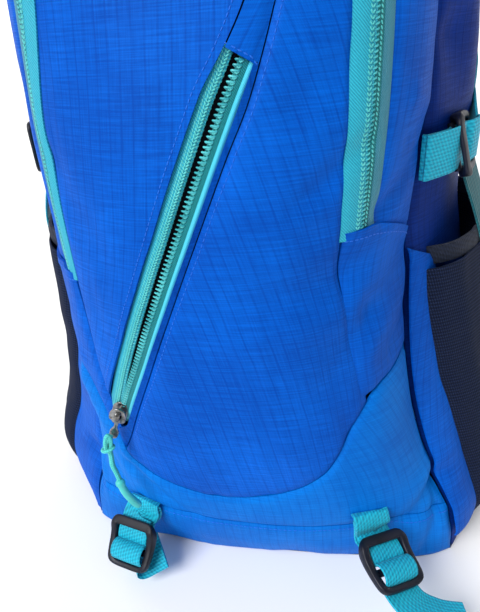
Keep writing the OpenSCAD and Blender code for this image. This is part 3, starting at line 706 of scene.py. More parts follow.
def matt_cloth(name, light, dark, scale=900.0, depth=0.15, rough=0.8):
    """Plain matt cloth that needs no cloth coordinates."""
    f = Finish(name, Roughness=rough, Sheen_Weight=0.15, Specular_IOR_Level=0.25)
    fine = f.noise(f.place(), scale, detail=3)
    cloudy = f.noise(f.place(), 25, detail=2)
    share = f.maths("ADD", f.spread(fine, 0.3, 0.7, 0, 0.7), f.spread(cloudy, 0.3, 0.7, -0.1, 0.3))
    return f.finish(f.blend(share, dark, light), fine, depth, 0.6)


def spacer_cloth(name, light, dark, pitch=3.2):
    """Knitted spacer over foam: round dimples in staggered rows, laid out by place and not by cloth axes."""
    f = Finish(name, Roughness=0.85, Sheen_Weight=0.2, Specular_IOR_Level=0.2)
    cells = f.node("ShaderNodeTexVoronoi", {"Vector": f.place(), "Scale": 1000 / pitch, "Randomness": 0.25})
    hole = f.spread(cells.outputs["Distance"], 0.12, 0.42)
    fine = f.noise(f.place(), 1500, detail=2)
    share = f.maths("MULTIPLY_ADD", fine, 0.3, f.maths("MULTIPLY", hole, 0.7))
    return f.finish(f.blend(share, dark, light), hole, 0.5, 0.7)


def moulded(name, light, dark, rough=0.42, scale=1400.0, depth=0.03, **sockets):
    """Moulded plastic or rubber with a fine grain and slightly rubbed patches."""
    f = Finish(name, Roughness=rough, **sockets)
    fine = f.noise(f.place(), scale, detail=2)
    rubbed = f.noise(f.place(), 70, detail=4)
    base = f.blend(f.spread(rubbed, 0.35, 0.7), dark, light)
    return f.finish(base, fine, depth, 0.5, f.spread(rubbed, 0.3, 0.7, rough + 0.07, rough - 0.08))


def plated(name):
    """Nickel-plated zinc: bright, with fine scuffs and dull patches."""
    f = Finish(name, Metallic=1.0, Roughness=0.28)
    scuffs = f.noise(f.place(), 1.0, (1800, 300, 900), 3)
    dull = f.noise(f.place(), 220, detail=3)
    base = f.blend(f.spread(dull, 0.35, 0.7), colour(92, 92, 92), colour(168, 168, 166))
    return f.finish(base, scuffs, 0.02, 0.4, f.spread(dull, 0.3, 0.7, 0.2, 0.42))


shell = shell_cloth("shell_nylon", colour(0, 100, 212), colour(0, 68, 164))
# a darker copy of the shell cloth: painted shade for the right side panel
shell_painted_shade = shell_cloth("shell_nylon_painted_shade", colour(0, 54, 150), colour(0, 32, 104))
base_cloth = shell_cloth("base_nylon", colour(4, 124, 220), colour(0, 92, 186), pitch=0.8)
lining = matt_cloth("lining", colour(16, 22, 40), colour(6, 9, 20), 700)
webbing = webbing_cloth("webbing", colour(28, 192, 220), colour(4, 128, 160))
# a darker copy of the webbing: painted shade for the right compression strap's tail
webbing_painted_shade = webbing_cloth("webbing_painted_shade", colour(16, 112, 122), colour(4, 70, 80))
tape = tape_cloth("zip_tape", colour(52, 182, 206), colour(20, 138, 166))
# a lighter copy of the zip tape: painted light on the fold of the slanted zip's tape
tape_painted_light = tape_cloth("zip_tape_painted_light", colour(84, 208, 232), colour(62, 186, 212), pitch=0.8)
# a darker copy of the zip tape: painted shade in the side zips' groove and on the slanted zip's right tape
# down in its slot
tape_painted_deep_shade = tape_cloth("zip_tape_painted_deep_shade", colour(28, 142, 148), colour(12, 98, 104), pitch=0.9)
# a darker copy of the zip tape: painted shade on the side zips' outer tape
tape_painted_shade = tape_cloth("zip_tape_painted_shade", colour(66, 146, 166), colour(42, 116, 140), pitch=0.9)
coil_nylon = moulded("coil_nylon", colour(92, 206, 212), colour(34, 150, 160), 0.4)
knit = mesh_cloth("mesh_knit", colour(30, 44, 78), colour(0, 3, 12))
elastic = webbing_cloth("elastic_binding", colour(34, 44, 66), colour(10, 15, 28), (1.2, 3.0), 0.7)
spacer = spacer_cloth("spacer_mesh", colour(52, 58, 68), colour(14, 17, 24))
thread = matt_cloth("thread", colour(16, 116, 226), colour(4, 84, 196), 2500, 0.03, 0.6)
thread_teal = matt_cloth("thread_teal", colour(112, 218, 216), colour(50, 170, 172), 2500, 0.03, 0.55)
plastic = moulded("buckle_plastic", colour(20, 26, 44), colour(7, 10, 22), 0.45, Specular_IOR_Level=0.3)
metal = plated("zip_metal")
rubber = moulded("grip_rubber", colour(70, 200, 195), colour(44, 170, 168), 0.45, 900, 0.05)
cord_braid = webbing_cloth("cord_braid", colour(96, 222, 214), colour(50, 178, 174), (1.1, 1.4), 0.5)
sheet_plastic = moulded("frame_sheet_plastic", colour(40, 40, 44), colour(22, 22, 26), 0.6)

# ---- shell panels ----


def front_panel(first, last, edges):
    """Grid of a front panel above the smile seam, between the two upright edges that edges(z) gives."""
    def at(u, v):
        s = mix(first, last, u)
        for _ in range(6):
            z = mix(smile(s) + SEAM_GAP, RIM - 1, v)
            left, right = edges(z)
            s = mix(left, right, u)
        return s, z
    return at


def left_edges(z):
    return -panel_edge(z, -1) + 0.006, np.maximum(slot_left(z), -0.985) - 0.004


def right_edges(z):
    return np.maximum(fold_seam(z), -0.975) + 0.004, panel_edge(z, 1) - 0.006


PLACKET_SHARE = 0.7  # share of the placket's rows that lie below the slot's upper edge
PLACKET_ROWS = np.concatenate([np.linspace(0, PLACKET_SHARE, 120), np.linspace(PLACKET_SHARE + 1e-4, 1, 60)])


def placket(u, v):
    """The folded strip on the right of the slanted zip, widening into the garage above it."""
    below = v <= PLACKET_SHARE
    (x0, z0), (x1, z1) = SLOT_ENDS
    corner = fold_seam(z1)
    strip_z = mix(97, z1, v / PLACKET_SHARE)
    over_x = mix(to_s(x0, z0), corner - 0.004, u)
    slant = mix(z0, z1, np.clip((over_x - to_s(x0, z0)) / (to_s(x1, z1) - to_s(x0, z0)), 0, 1))
    rise = np.clip((v - PLACKET_SHARE) / (1 - PLACKET_SHARE), 0, 1)
    z = np.where(below, strip_z, mix(slant, RIM - 1, rise))
    under = np.maximum(slot_right(z), -0.97) + 0.004
    over = to_s(curve(LEFT_EDGE, 1, z), z) + 0.006
    outer = np.maximum(fold_seam(z) - 0.004, under + 0.002)
    return mix(np.where(below, under, over), outer, u), z


HEM_FALL = {-1: 0, 1: 17}  # how far a hem drops from the zip to the gusset seam


def hem(side, a):
    """Height of the hem between wedge and gusset at s = a, falling away from the zip."""
    return ZIP_END[side] - HEM_FALL[side] * np.clip((a - 1.1) / 0.9, 0, 1) ** 1.4


def wedge(side):
    def at(u, v):
        k = from_front(side, u)
        low = smile(side * (1 + k)) + SEAM_GAP
        top = hem(side, mix(panel_edge(ZIP_END[side], side), FRONT_END, k)) + 0.8
        z = mix(low, top, v)
        edge = np.minimum(panel_edge(z, side), panel_edge(ZIP_END[side] - 25, side)) + 0.004
        return side * mix(edge, FRONT_END, k), z
    return at


def gusset(side):
    def at(u, v):
        k = from_front(side, u)
        start = TAPE_OUT + zip_drift(side, ZIP_END[side])
        z = mix(hem(side, mix(start, FRONT_END, k)) - 1.5, RIM - 1, v)
        return side * mix(TAPE_OUT + zip_drift(side, z), FRONT_END, k), z
    return at


def side_panel(side):
    def at(u, v):
        return side * mix(SIDE_START, SIDE_END, from_front(side, u)), mix(0.6, RIM - 1, v)
    return at


def band_edge(s):
    """Height of the seam between the base and the band below it."""
    return BAND_Z + 3 * np.cos(s * 1.4)


def base(u, v):
    s = mix(-FRONT_END, FRONT_END, u)
    return s, mix(band_edge(s) + 0.2, smile(s) - SEAM_GAP, v)


def bottom_band(u, v):
    s = mix(-FRONT_END, FRONT_END, u)
    return s, mix(0.6, band_edge(s) - SEAM_GAP, v)


def tucked(u, v):
    """The placket is a fold: its free edge is full and its sewn edge lies low."""
    return 1.2 * (1 - u) + 0.4


def rolled_hem(u, v):
    return 0.9 * smooth((v - 0.8) / 0.2)


cloth = {}


def panel(name, at, columns, rows, material=shell, **settings):
    """A cloth panel that takes the place of the frame node of its name."""
    cloth[name] = sheet(name, at, columns, rows, material, replaces=[name], **settings)


panel("front_panel_left", front_panel(-0.98, 0.7, left_edges), 64, 120, seams="lbt")
panel("front_panel_right", front_panel(-0.9, 0.9, right_edges), 64, 120)
panel("zip_garage", placket, 12, PLACKET_ROWS, seams="r", shape=tucked)
for side, hand in SIDES:
    panel("wedge_" + hand, wedge(side), 26, 40, seams="lrb", shape=rolled_hem)
    panel("gusset_" + hand, gusset(side), 18, 64)
    # the right side panel gets the darker copy of the shell cloth, painted shade
    panel("side_panel_" + hand, side_panel(side), 52, 110, shell if side < 0 else shell_painted_shade)
panel("base_panel", base, 190, 34, base_cloth)
panel("bottom_band", bottom_band, 190, 20, base_cloth)

# ---- slanted zip ----


ZIP_LOW = 124.0


def opened(z):
    """0 at the slider, where the two rows meet, and 1 where they lie apart."""
    return smooth((z - 128) / 46)


def split_left(z):
    return mix(-1.8, -3.4, opened(z)) + 0.9 * smooth((z - 285) / 20)


def split_right(z):
    return mix(-1.4, -0.8, opened(z)) + 0.5 * smooth((z - 285) / 20)


def slot_top(offset):
    """Height at which a strip of the slanted zip runs in under the slot's upper edge."""
    (x0, z0), (x1, z1) = SLOT_ENDS
    across = np.clip((diagonal_x(z1) + offset - x0) / (x1 - x0), 0, 1.0)
    return mix(z0, z1, across) + 1.5


def zip_route(split, offset, top, out):
    """A route up the slanted zip, offset sideways from one half's edge."""
    z = np.arange(ZIP_LOW, slot_top(top), 0.9)
    return over_skin(to_s(diagonal_x(z) + split(z) + offset, z), z, out)


def ribbon(name, split, first, last, below, top, material, out, thick, bulge, replaces=()):
    """A strip of tape up the slanted zip between two offsets from one half's edge."""
    def at(u, v):
        z = mix(ZIP_LOW - below, slot_top(top), v)
        return to_s(diagonal_x(z) + split(z) + mix(first, last, u), z), z
    tape_strip(name, at, 150, material, out, thick, bulge, replaces)


ribbon("diagonal_tape_left", split_left, -8.6, 0, 6, -3, tape, -1.9, 0.8, 1.1, ["diag_zip_left"])
# the right tape down in the slot is drawn darker, painted shade
ribbon("diagonal_tape_right", split_right, 1.1, 6.6, 6, 4, tape_painted_deep_shade, -1.5, 0.9, 0.5, ["diag_zip_right"])
# the tape's fold is drawn lighter, painted light
ribbon("diagonal_tape_fold", split_right, 5.9, 8.6, 2, 7, tape_painted_light, -0.7, 0.8, 0.7)
coil("diagonal_coil_left", *zip_route(split_left, -1.3, -2, -2.4), 2.2, 2.2, 1.6, 0.4)
coil("diagonal_coil_right", *zip_route(split_right, 1.6, 1, -0.9), 2.2, 2.9, 1.5, 0.42, phase=np.pi)
chevrons("diagonal_stitches_left", *zip_route(split_left, -2.3, -3, -0.9), 1.5, 2.4, (1.9, 0.8, 0.6))
chevrons("diagonal_stitches_left_outer", *zip_route(split_left, -4.0, -4, -0.8), 1.5, 1.6,
         (1.6, 0.7, 0.5), (1,))
chevrons("diagonal_stitches_right", *zip_route(split_right, 2.3, 2, -0.6), 2.2, 2.0, (1.9, 0.8, 0.6))


def slot_lining(u, v):
    z = mix(108, 330, v)
    centre = to_s(diagonal_x(z), z)
    return np.clip(mix(centre - 0.25, centre + 0.45, u), -0.97, 0.9), z


sheet("slot_lining", slot_lining, 16, 60, lining, "lining", ["pocket_lining"], -6.5, 1.0, "")

# ---- seam stitches on the front ----


def front_row(name, cloths, z, x, pitch=2.6):
    stitches(name, cloths, to_s(x, z), z, pitch, 1.9)


row_z = np.arange(122.0, 330, 2)
front_row("stitches_slot_left", ["front_panel_left"], row_z,
          curve(LEFT_EDGE, 1, row_z) - 3.4 - 0.02 * np.clip(row_z - 280, 0, 40))
row_z = np.arange(112.0, 392, 2)
front_row("stitches_slot_right", ["front_panel_right"], row_z, curve(FOLD_SEAM, 1, row_z) + 1.9, 2.8)
row_z = np.arange(308, 301.4, -0.6)
front_row("stitches_slot_top", ["zip_garage"], row_z, mix(1.5, 13.5, (308 - row_z) / 6.6))
for side, hand in SIDES:
    row_s = np.linspace(0.9 if side > 0 else 1.0, 1.96, 60)
    stitches("stitches_hem_" + hand, ["wedge_" + hand], side * row_s, hem(side, row_s) - 3.2)
row_s = np.linspace(-1.94, 1.94, 200)
stitches("stitches_band", ["bottom_band"], row_s, band_edge(row_s) - 3.4, 3.0)

# ---- upright side zips ----


def side_route(side, s, out):
    z = np.arange(ZIP_END[side] + 1, RIM - 8, 1.0)
    return over_skin(side * (s + zip_drift(side, z)), z, out)


def side_tape(name, side, inner, outer, material, out, bulge, replaces=()):
    def at(u, v):
        z = mix(ZIP_END[side] - 3, RIM - 6, v)
        return side * (mix(inner, outer, from_front(side, u)) + zip_drift(side, z)), z
    tape_strip(name, at, 130, material, out, 0.8, bulge, replaces)


for side, hand in SIDES:
    side_tape("side_tape_inner_" + hand, side, 0.872, 1.0, tape, -0.6, 0.9, ["side_zip_" + hand])
    # the groove strip is drawn with darker tape, painted shade
    side_tape("side_tape_groove_" + hand, side, 0.985, 1.09, tape_painted_deep_shade, -0.9, 0.1)
    # the outer strip is drawn with darker tape, painted shade
    side_tape("side_tape_outer_" + hand, side, 1.078, 1.185, tape_painted_shade, -0.7, 0.3)
    chevrons("side_zip_chain_" + hand, *side_route(side, 0.968, 0.3), 2.0, 2.2, (1.9, 0.75, 0.55))
    chevrons("side_zip_row_" + hand, *side_route(side, 1.045, -0.5), 1.9, 0.3, (1.7, 0.8, 0.7), (1,))
    coil("side_zip_coil_" + hand, *side_route(side, 1.0, -1.0), 2.0, 2.0, 1.4, 0.4)

# ---- pocket, bindings ----

POCKET_FOOT, POCKET_TOP = 10, (186.0, 196.0)  # heights; the top rises towards the back
POCKET_FRONT = {-1: 2.3, 1: 2.13}
POCKET_BACK = 2.93
POCKET_DEPTH = {-1: 7.2, 1: 16.0}


def pocket_at(side):
    def at(u, v):
        k = from_front(side, u)
        z = mix(POCKET_FOOT, mix(*POCKET_TOP, k), v)
        front = POCKET_FRONT[side] + 0.04 * np.cos(np.pi * np.clip((z - 70) / 120, -1, 1)) - 0.04
        return side * mix(front, POCKET_BACK, k), z
    return at


def pocket_puff(side, u, v):
    return POCKET_DEPTH[side] * (1 - (2 * u - 1) ** 4) * (1 - (1 - np.minimum(1, v * 5)) ** 2)


def pocket_shape(side):
    def shape(u, v):
        ripple = 1.4 * noise(u * 7 + 2, v * 5, 11) + 0.8 * noise(u * 15, v * 4 + 5, 12)
        return pocket_puff(side, u, v) * (1 - 0.06 * np.cos(u * 9)) + ripple * np.sin(np.pi * u)
    return shape


def binding_at(side):
    def at(u, v):
        k = from_front(side, u)
        return side * mix(POCKET_FRONT[side], POCKET_BACK, k), mix(*POCKET_TOP, k) + mix(0.2, 10, v)
    return at


def binding_shape(side):
    def shape(u, v):
        return pocket_puff(side, u, 1.0) + 0.5 * noise(u * 26, v * 0.5, 13) + 0.7 * np.sin(np.pi * v)
    return shape


for side, hand in SIDES:
    sheet("mesh_pocket_" + hand, pocket_at(side), 60, 80, knit, "mesh", ["mesh_pocket_" + hand], 1.6, 1.0,
          "lr", "pack", pocket_shape(side), 0.5)
    sheet("pocket_binding_" + hand, binding_at(side), 60, 8, elastic, "binding",
          ["pocket_bindings"] if side > 0 else [], 2.4, 1.8, "", "pack", binding_shape(side), 0.5)


def facing(u, v):
    """Cloth strip beside the front edge of the right mesh pocket."""
    return mix(1.992, 2.19, u), mix(16, 201 - 12 * u, v)


def facing_shape(u, v):
    return 2.4 * np.sin(np.pi * np.clip(u, 0, 1)) ** 0.8


sheet("pocket_facing_right", facing, 12, 60, shell, out=2.6, thick=1.0, seams="tb", shape=facing_shape,
      wrinkled=0.6)

# ---- floor, back and inner pieces ----


def floor_sheet():
    """The bottom panel: flat below, a little uneven inside."""
    rim = skin(np.linspace(-3, 3, 121), 0.0, -2.6)[:, :2]
    rings = mix(rim.mean(0), rim, np.linspace(0, 1, 14)[:, None, None])
    outer = np.concatenate([rings, np.zeros_like(rings[..., :1])], -1)
    inner = outer + [0, 0, FLOOR_T]
    inner[..., 2] += 0.5 * noise(outer[..., 0] / 25, outer[..., 1] / 25, 21)
    n, m = outer.shape[:2]
    points = np.concatenate([outer.reshape(-1, 3), inner.reshape(-1, 3)])
    faces = [tuple(f) for f in grid_faces(n, m)] + [tuple(f) for f in grid_faces(n, m, n * m, True)]
    edge = np.arange((n - 1) * m, n * m)
    for a, b in zip(edge, np.roll(edge, -1)):
        faces.append((a, a + n * m, b + n * m, b))
    uv = np.concatenate([outer.reshape(-1, 3)[:, :2]] * 2)
    piece("bottom_panel", points, faces, "pack", "lining", lining, ["bottom_panel"], uv)


def wall(name, low, high, rows, u, half, depth, material, slot):
    """An upright closed sheet: half(z) is its half width, depth(u, x, up) gives the y of its two faces."""
    z = np.linspace(low, high, rows)
    x = lean(z)[:, None] + u[None, :] * half(z)[:, None]
    up = z[:, None] + 0 * x
    points, faces = closed_sheet(*(np.stack([x, y, up], -1) for y in depth(u, x, up)))
    uv = np.concatenate([np.stack([x, up], -1).reshape(-1, 2)] * 2)
    piece(name, points, faces, "pack", slot, material, [name], uv)


def back_depth(u, x, up):
    """The padded back lies flat on the inside and is thinner along its rolled edge."""
    half = curve(STATIONS, 6, up[:, 0])
    upright = np.minimum(up - up[0], up[-1] - up)
    edge = np.minimum((1 - np.abs(u))[None, :] * half[:, None], upright)
    puff = BACK_T * (1 - 0.55 * np.exp(-edge / 9)) + 0.4 * noise(x / 30, up / 30, 22)
    return BACK_Y + 0.6 + puff, np.full_like(x, BACK_Y + 0.6)


def divider_depth(u, x, up):
    """The wall between the front pocket and the main room."""
    y = outline(2.0, up[:, :1])[..., 1] + 3.1 + 1.2 * noise(x / 45, up / 60, 31)
    return y, y + 1.2


floor_sheet()
wall("back_panel", FLOOR_T + 0.4, RIM, 90, np.linspace(1, -1, 70), lambda z: curve(STATIONS, 6, z),
     back_depth, spacer, "padding")
wall("divider_panel", FLOOR_T + 0.6, RIM - 4, 60, np.linspace(-1, 1, 50), lambda z: curve(STATIONS, 4, z) - 6,
     divider_depth, lining, "lining")

# ---- moulded locks ----


def turned(p, axis, degrees):
    """Points turned about axis 0, 1 or 2."""
    c, s = math.cos(math.radians(degrees)), math.sin(math.radians(degrees))
    a, b = (axis + 1) % 3, (axis + 2) % 3
    out = np.array(p, float)
    first, second = out[..., a] * c - out[..., b] * s, out[..., a] * s + out[..., b] * c
    out[..., a], out[..., b] = first, second
    return out


def rounded(half_wide, half_high, sides=16, power=4.0):
    """A rounded rectangle's section."""
    a = np.linspace(0, 2 * np.pi, sides, endpoint=False)
    c, s = np.cos(a), np.sin(a)
    x = np.sign(c) * np.abs(c) ** (2 / power) * np.asarray(half_wide)[..., None]
    y = -np.sign(s) * np.abs(s) ** (2 / power) * np.asarray(half_high)[..., None]
    return np.stack(np.broadcast_arrays(x, y), -1)


# x, y, z, half width and half thickness of the lock's frame, from the middle of its lip to its free end
LOCK_KEYS = np.array([
    [0, -2.6, 5.9, 2.9, 1.2], [8.5, -2.6, 5.9, 2.9, 1.2], [12.2, -2.2, 5.4, 2.9, 1.7],
    [13.9, 0.6, 3.4, 2.5, 3.6], [14.1, 5, 1.4, 2.4, 3.0], [14.0, 10, 0.5, 2.3, 2.6],
    [13.7, 16, 0.1, 2.3, 2.3], [12.6, 21.2, -0.2, 2.2, 2.1], [9.5, 23.0, -0.6, 1.8, 1.9],
    [0, 23.3, -0.7, 1.8, 1.8]])


def lock_shape():
    """A three-bar ladder lock round its own origin: the sewn bar on x, the free end towards +y."""
    keys = np.concatenate([LOCK_KEYS, LOCK_KEYS[-2:0:-1] * [-1, 1, 1, 1, 1]])
    count = 96
    looped = np.concatenate([keys[-3:], keys, keys[:4]])
    length = running(looped[:, :3], 0)
    t = np.linspace(length[3], length[3 + len(keys)], count, endpoint=False)
    ring = np.stack([curve(np.column_stack([length, looped]), k, t) for k in range(1, 6)], -1)
    ahead, behind = np.roll(ring, -1, 0), np.roll(ring, 1, 0)
    tangent = unit((ahead - behind)[:, :3] * [1, 1, 0])
    outward = np.cross(tangent, UP)
    section = rounded(ring[:, 3], ring[:, 4])
    points = ring[:, None, :3] + section[..., :1] * outward[:, None] + section[..., 1:] * UP
    sides = section.shape[1]
    i, k = np.meshgrid(np.arange(count), np.arange(sides), indexing="ij")
    a, b = i * sides + k, i * sides + (k + 1) % sides
    c, d = (i + 1) % count * sides + (k + 1) % sides, (i + 1) % count * sides + k
    frame_faces = [tuple(f) for f in np.stack([a, b, c, d], -1).reshape(-1, 4)]
    parts = [(points.reshape(-1, 3), frame_faces)]
    across = np.linspace(-12.6, 12.6, 9)[:, None]
    for y, z, half_wide, half_high in ((0, 0, 1.9, 1.9), (13, 0, 2.1, 1.6)):
        route = np.concatenate([across, 0 * across + y, 0 * across + z], 1)
        section = rounded(np.full(9, half_wide), np.full(9, half_high), power=2.0 if y == 0 else 3.0)
        parts.append(sweep(route, (0, 1.0, 0), section)[:2])
    return joined(parts)


def ladder_lock(name, place, body):
    points, faces = lock_shape()
    return piece(name, place(points), faces, body, "buckle_plastic", plastic, [name], sharp=60)


# ---- lash straps at the foot ----

# place, tilt, turn and twist of each lock, then s and height of its seam
LASH = {"left": ((-79, -112, 31), 42, -12, 6), "right": ((73, -115, 40), 12, 32, -12)}
LASH_SEWN = {"left": (-0.93, 50), "right": (0.87, 60)}


def at_lash(hand):
    place, tilt, turn, twist = LASH[hand]
    return lambda p: np.array(place, float) + turned(turned(turned(p, 1, twist), 0, -tilt), 2, 180 + turn)


def bar_loop(reach, radius=3.4):
    """Webbing's turn round a sewn bar, drawn out towards the lock's free end."""
    a = np.radians(np.arange(-100, 101, 20))
    y = radius * np.cos(a)
    return np.stack([0 * a, np.where(y > 0, y * reach / radius, y), radius * np.sin(a) * 0.92], -1)


LOCK_TAIL = [[0, 5.4, -4.6], [0, 7.4, -2.8], [0, 8.6, 0.4], [0, 9.8, 3.6], [0, 12.4, 5.3], [0, 15.8, 5.4],
             [0, 18.6, 3.9], [0, 20.3, 1.2], [0, 20.7, -1.6], [0, 22.0, -4.2]]
TAILS = {"left": [[-0.6, 23, -6.4], [-4, 20.5, -8.6], [-10, 15, -9.6], [-17, 9, -9.8]],
         "right": [[-1, 29, -4.6], [-4, 35, -4.2], [-10, 41, -3.2], [-17, 46, -2], [-25, 50, -1]]}


def lash_strap(hand):
    """A doubled strap sewn to the base, its lock, and the free end that hangs from the lock."""
    place = at_lash(hand)
    s, top = LASH_SEWN[hand]
    lock = "lash_lock_" + hand

    def skin_at(z, out):
        return [skin(s, z, out + relief(s, z) * 0.6)]

    sewn = [skin_at(top - 1, 1.6), skin_at(top - 8, 1.8), [place([0, -9, -2.6])]]
    back = [[place([0, -9, 2.2])], skin_at(top - 7, 4.6), skin_at(top - 1.5, 3.6), skin_at(top + 0.6, 2.2),
            skin_at(top, 0.4)]
    route = np.concatenate(sewn + [place(bar_loop(8.4))] + back)
    across = place([[-1, 0, 0]])[0] - place([[0, 0, 0]])[0]
    lean_in = skin(s + 0.1, top) - skin(s - 0.1, top)
    widths = np.array([across] * len(route))
    widths[[0, 1, -4, -3, -2, -1]] = mix(unit(lean_in), across, 0.5)
    bend = ("pack", lock, skin(s, top - 6, 3), LASH[hand][0])
    strap("lash_webbing_" + hand, route, WEB_W, widths, 1.0, ["lash_webbing"] if hand == "left" else (), bend)
    ladder_lock(lock, place, lock)
    tail = place(LOCK_TAIL + TAILS[hand])
    strap("lash_tail_" + hand, tail, WEB_W + 0.8, across, 0.9, ["lash_tail_" + hand], lock)


lash_strap("left")
lash_strap("right")

# ---- compression straps on the sides ----

SIDE_BAR_Z, SIDE_BAR_OUT, STRAP_CLIMB = 247.0, 5.5, 70.0
SIDE_BAR_S = {-1: 2.45, 1: 2.2}
SIDE_TWIST = {-1: 0.0, 1: 16.0}  # on the right the lower rail stands out and the upper rail lies in the cloth
SIDE_SEWN = {-1: (1.98, 2.1, 2.22), 1: (1.98,)}  # s of the points where the front webbing lies on the cloth
CLIMB_START = {-1: 0.35, 1: 0.42}
TAIL_DROP = {-1: ((-6, 9), (-16, 11), (-30, 14.5), (-46, 17), (-62, 18), (-80, 19)),
             1: ((-6, 9), (-16, 12.5), (-30, 17.5), (-46, 21), (-62, 22.5), (-80, 24))}
OVER_BARS = ((0, 9.4, -3.2), (0, 10.2, 0.6), (0, 12, 4.0), (0, 16, 4.8), (0, 21, 4.8), (0, 26, 3.6),
             (0, 33, -0.6))


def side_direction(side):
    bar_s = side * SIDE_BAR_S[side]
    return unit(skin(side * (SIDE_BAR_S[side] + 0.14), SIDE_BAR_Z) - skin(bar_s, SIDE_BAR_Z))


def at_side(side):
    d = side_direction(side)
    turn = math.degrees(math.atan2(d[1], d[0])) - 90
    place = skin(side * SIDE_BAR_S[side], SIDE_BAR_Z, SIDE_BAR_OUT)
    return lambda p: place + turned(turned(p, 1, side * (90 - SIDE_TWIST[side])), 2, turn)


def compression_strap(side, hand):
    """The strap sewn into the front seam, its lock, the webbing that climbs to the back, and its tail."""
    place = at_side(side)
    upright, bar_s = (0, 0, -side), SIDE_BAR_S[side]
    under = [skin(side * k, SIDE_BAR_Z, 2.3) for k in SIDE_SEWN[side]]
    over = [skin(side * k, SIDE_BAR_Z, 4.4) for k in SIDE_SEWN[side][::-1]]
    route = [skin(side * 1.98, SIDE_BAR_Z, 0.5)] + under + [place([0, -9, -2.6])] + list(place(bar_loop(8.0)))
    route = np.array(route + [place([0, -9, 2.4])] + over + [skin(side * 1.95, SIDE_BAR_Z, 2.6)])
    strap("compression_webbing_front_" + hand, route, WEB_W + 1, upright, 1.0,
          ["compression_webbing"] if side < 0 else ())
    climb = []
    for k in np.linspace(bar_s + CLIMB_START[side], 2.98, 5):
        height = SIDE_BAR_Z + (k - bar_s - 0.25) * STRAP_CLIMB
        climb.append(skin(side * k, height, 2.2 + relief(side * k, SIDE_BAR_Z) * 0.5))
    strap("compression_webbing_rear_" + hand, np.concatenate([place(OVER_BARS), climb]), WEB_W, upright, 1.2)
    ladder_lock("side_lock_" + hand, place, "pack")
    tail = [skin(side * (bar_s + 0.16 + 0.03 * k), SIDE_BAR_Z - 8 + z, out)
            for k, (z, out) in enumerate(TAIL_DROP[side])]
    # the tail on the right is drawn with the darker webbing, painted shade
    strap("side_tail_" + hand, tail, WEB_W - 1, -side * side_direction(side), 1.5, ["side_tail_" + hand],
          material=webbing_painted_shade if side > 0 else webbing)


for side, hand in SIDES:
    compression_strap(side, hand)

# ---- rim and crown zips ----


def round_tape(name, low, high, body, node, reach=2.98):
    def at(u, v):
        return mix(-reach, reach, u), mix(low, high, v)
    sheet(name, at, 220, 6, tape, "zip", [node], 1.7, 1.0, "", body,
          lambda u, v: 0.4 * np.sin(np.pi * v), 0.3)


def round_coil(name, z, body, phase=0.0):
    s = np.linspace(-2.94, 2.94, 700)
    route = skin(s, z, 2.6 + relief(s, RIM) * 0.3)
    coil(name, route, unit(skin(s, z, 1.0) - skin(s, z, 0.0)), 2.6, 2.6, 2.2, 0.55, body, phase, 5)


round_tape("rim_zip_tape", 392.5, 398.4, "pack", "rim_zip")
round_coil("rim_zip_coil", 399.2, "pack")
round_tape("crown_zip_tape", 402.6, 408.4, "crown", "crown_zip", 2.95)
round_coil("crown_zip_coil", 401.8, "crown", math.pi)

# ---- crown cap ----

CROWN_HEIGHT, CAP_T = 56.0, 2.6


def crown_cap():
    """The domed lid, with a groove where its side wall meets its top."""
    s = np.concatenate([np.linspace(-3, 3, 150, endpoint=False), 3 + np.linspace(0, 1, 40, endpoint=False)])
    across_back = mix(outline(3.0, RIM), outline(-3.0, RIM), (s - 3)[:, None])
    rim = np.where((s > 3)[:, None], across_back, outline(s, RIM))
    arc = np.radians(np.linspace(0, 82, 44))
    centre = np.array([SLUMP, 2.0])
    out_dir = unit(rim - centre)

    def layer(inset):
        share = (1 - inset / 90) * np.cos(arc) ** 0.55
        plan = centre + (rim - centre)[None] * share[:, None, None]
        up = RIM + 1.6 + (CROWN_HEIGHT - inset) * np.sin(arc)[:, None] ** 0.85 + 0 * s
        up = up - 4.0 * np.clip(np.abs(plan[..., 0] - SLUMP) / 110, 0, 1) ** 2 * np.sin(arc)[:, None]
        crease = 1.6 * noise(plan[..., 0] / 34 + 5, plan[..., 1] / 30, 41)
        crease = crease + 0.7 * noise(plan[..., 0] / 13, plan[..., 1] / 12, 42)
        seam = np.degrees(arc)[:, None]
        groove = -1.4 * np.exp(-(((seam - 24) / 1.3) ** 2)) + 1.0 * np.exp(-(((seam - 21) / 3) ** 2))
        swell_out = (crease + groove) * np.minimum(1, np.degrees(arc) / 5)[:, None]
        plan = plan + out_dir[None] * swell_out[..., None] * np.cos(arc)[:, None, None]
        return np.concatenate([plan, (up + swell_out * np.sin(arc)[:, None])[..., None]], -1)

    outer, inner = layer(0.0), layer(CAP_T)
    rows, columns = outer.shape[:2]
    j, i = np.meshgrid(np.arange(rows - 1), np.arange(columns), indexing="ij")
    a, b = j * columns + i, j * columns + (i + 1) % columns
    quads = np.stack([a, b, b + columns, a + columns], -1).reshape(-1, 4)
    count = rows * columns
    faces = [tuple(f) for f in quads] + [tuple(f[::-1] + count) for f in quads]
    first = np.arange(columns)
    after = (first + 1) % columns
    faces += [tuple(f) for f in np.stack([first, first + count, after + count, after], -1)]
    top = (rows - 1) * columns
    peaks = [outer[-1].mean(0) + [0, 0, 0.4], inner[-1].mean(0) + [0, 0, 0.4]]
    faces += [(top + i, top + (i + 1) % columns, 2 * count) for i in range(columns)]
    faces += [(count + top + (i + 1) % columns, count + top + i, 2 * count + 1) for i in range(columns)]
    points = np.concatenate([outer.reshape(-1, 3), inner.reshape(-1, 3), peaks])
    return piece("crown_cap", points, faces, "crown", "shell_fabric", shell, ["crown_cap"], points[:, :2])


crown_cap()

# ---- harness: back pads, shoulder straps, haul loop, lower webbing, sternum strap ----


CLOTH_STEPS = 20


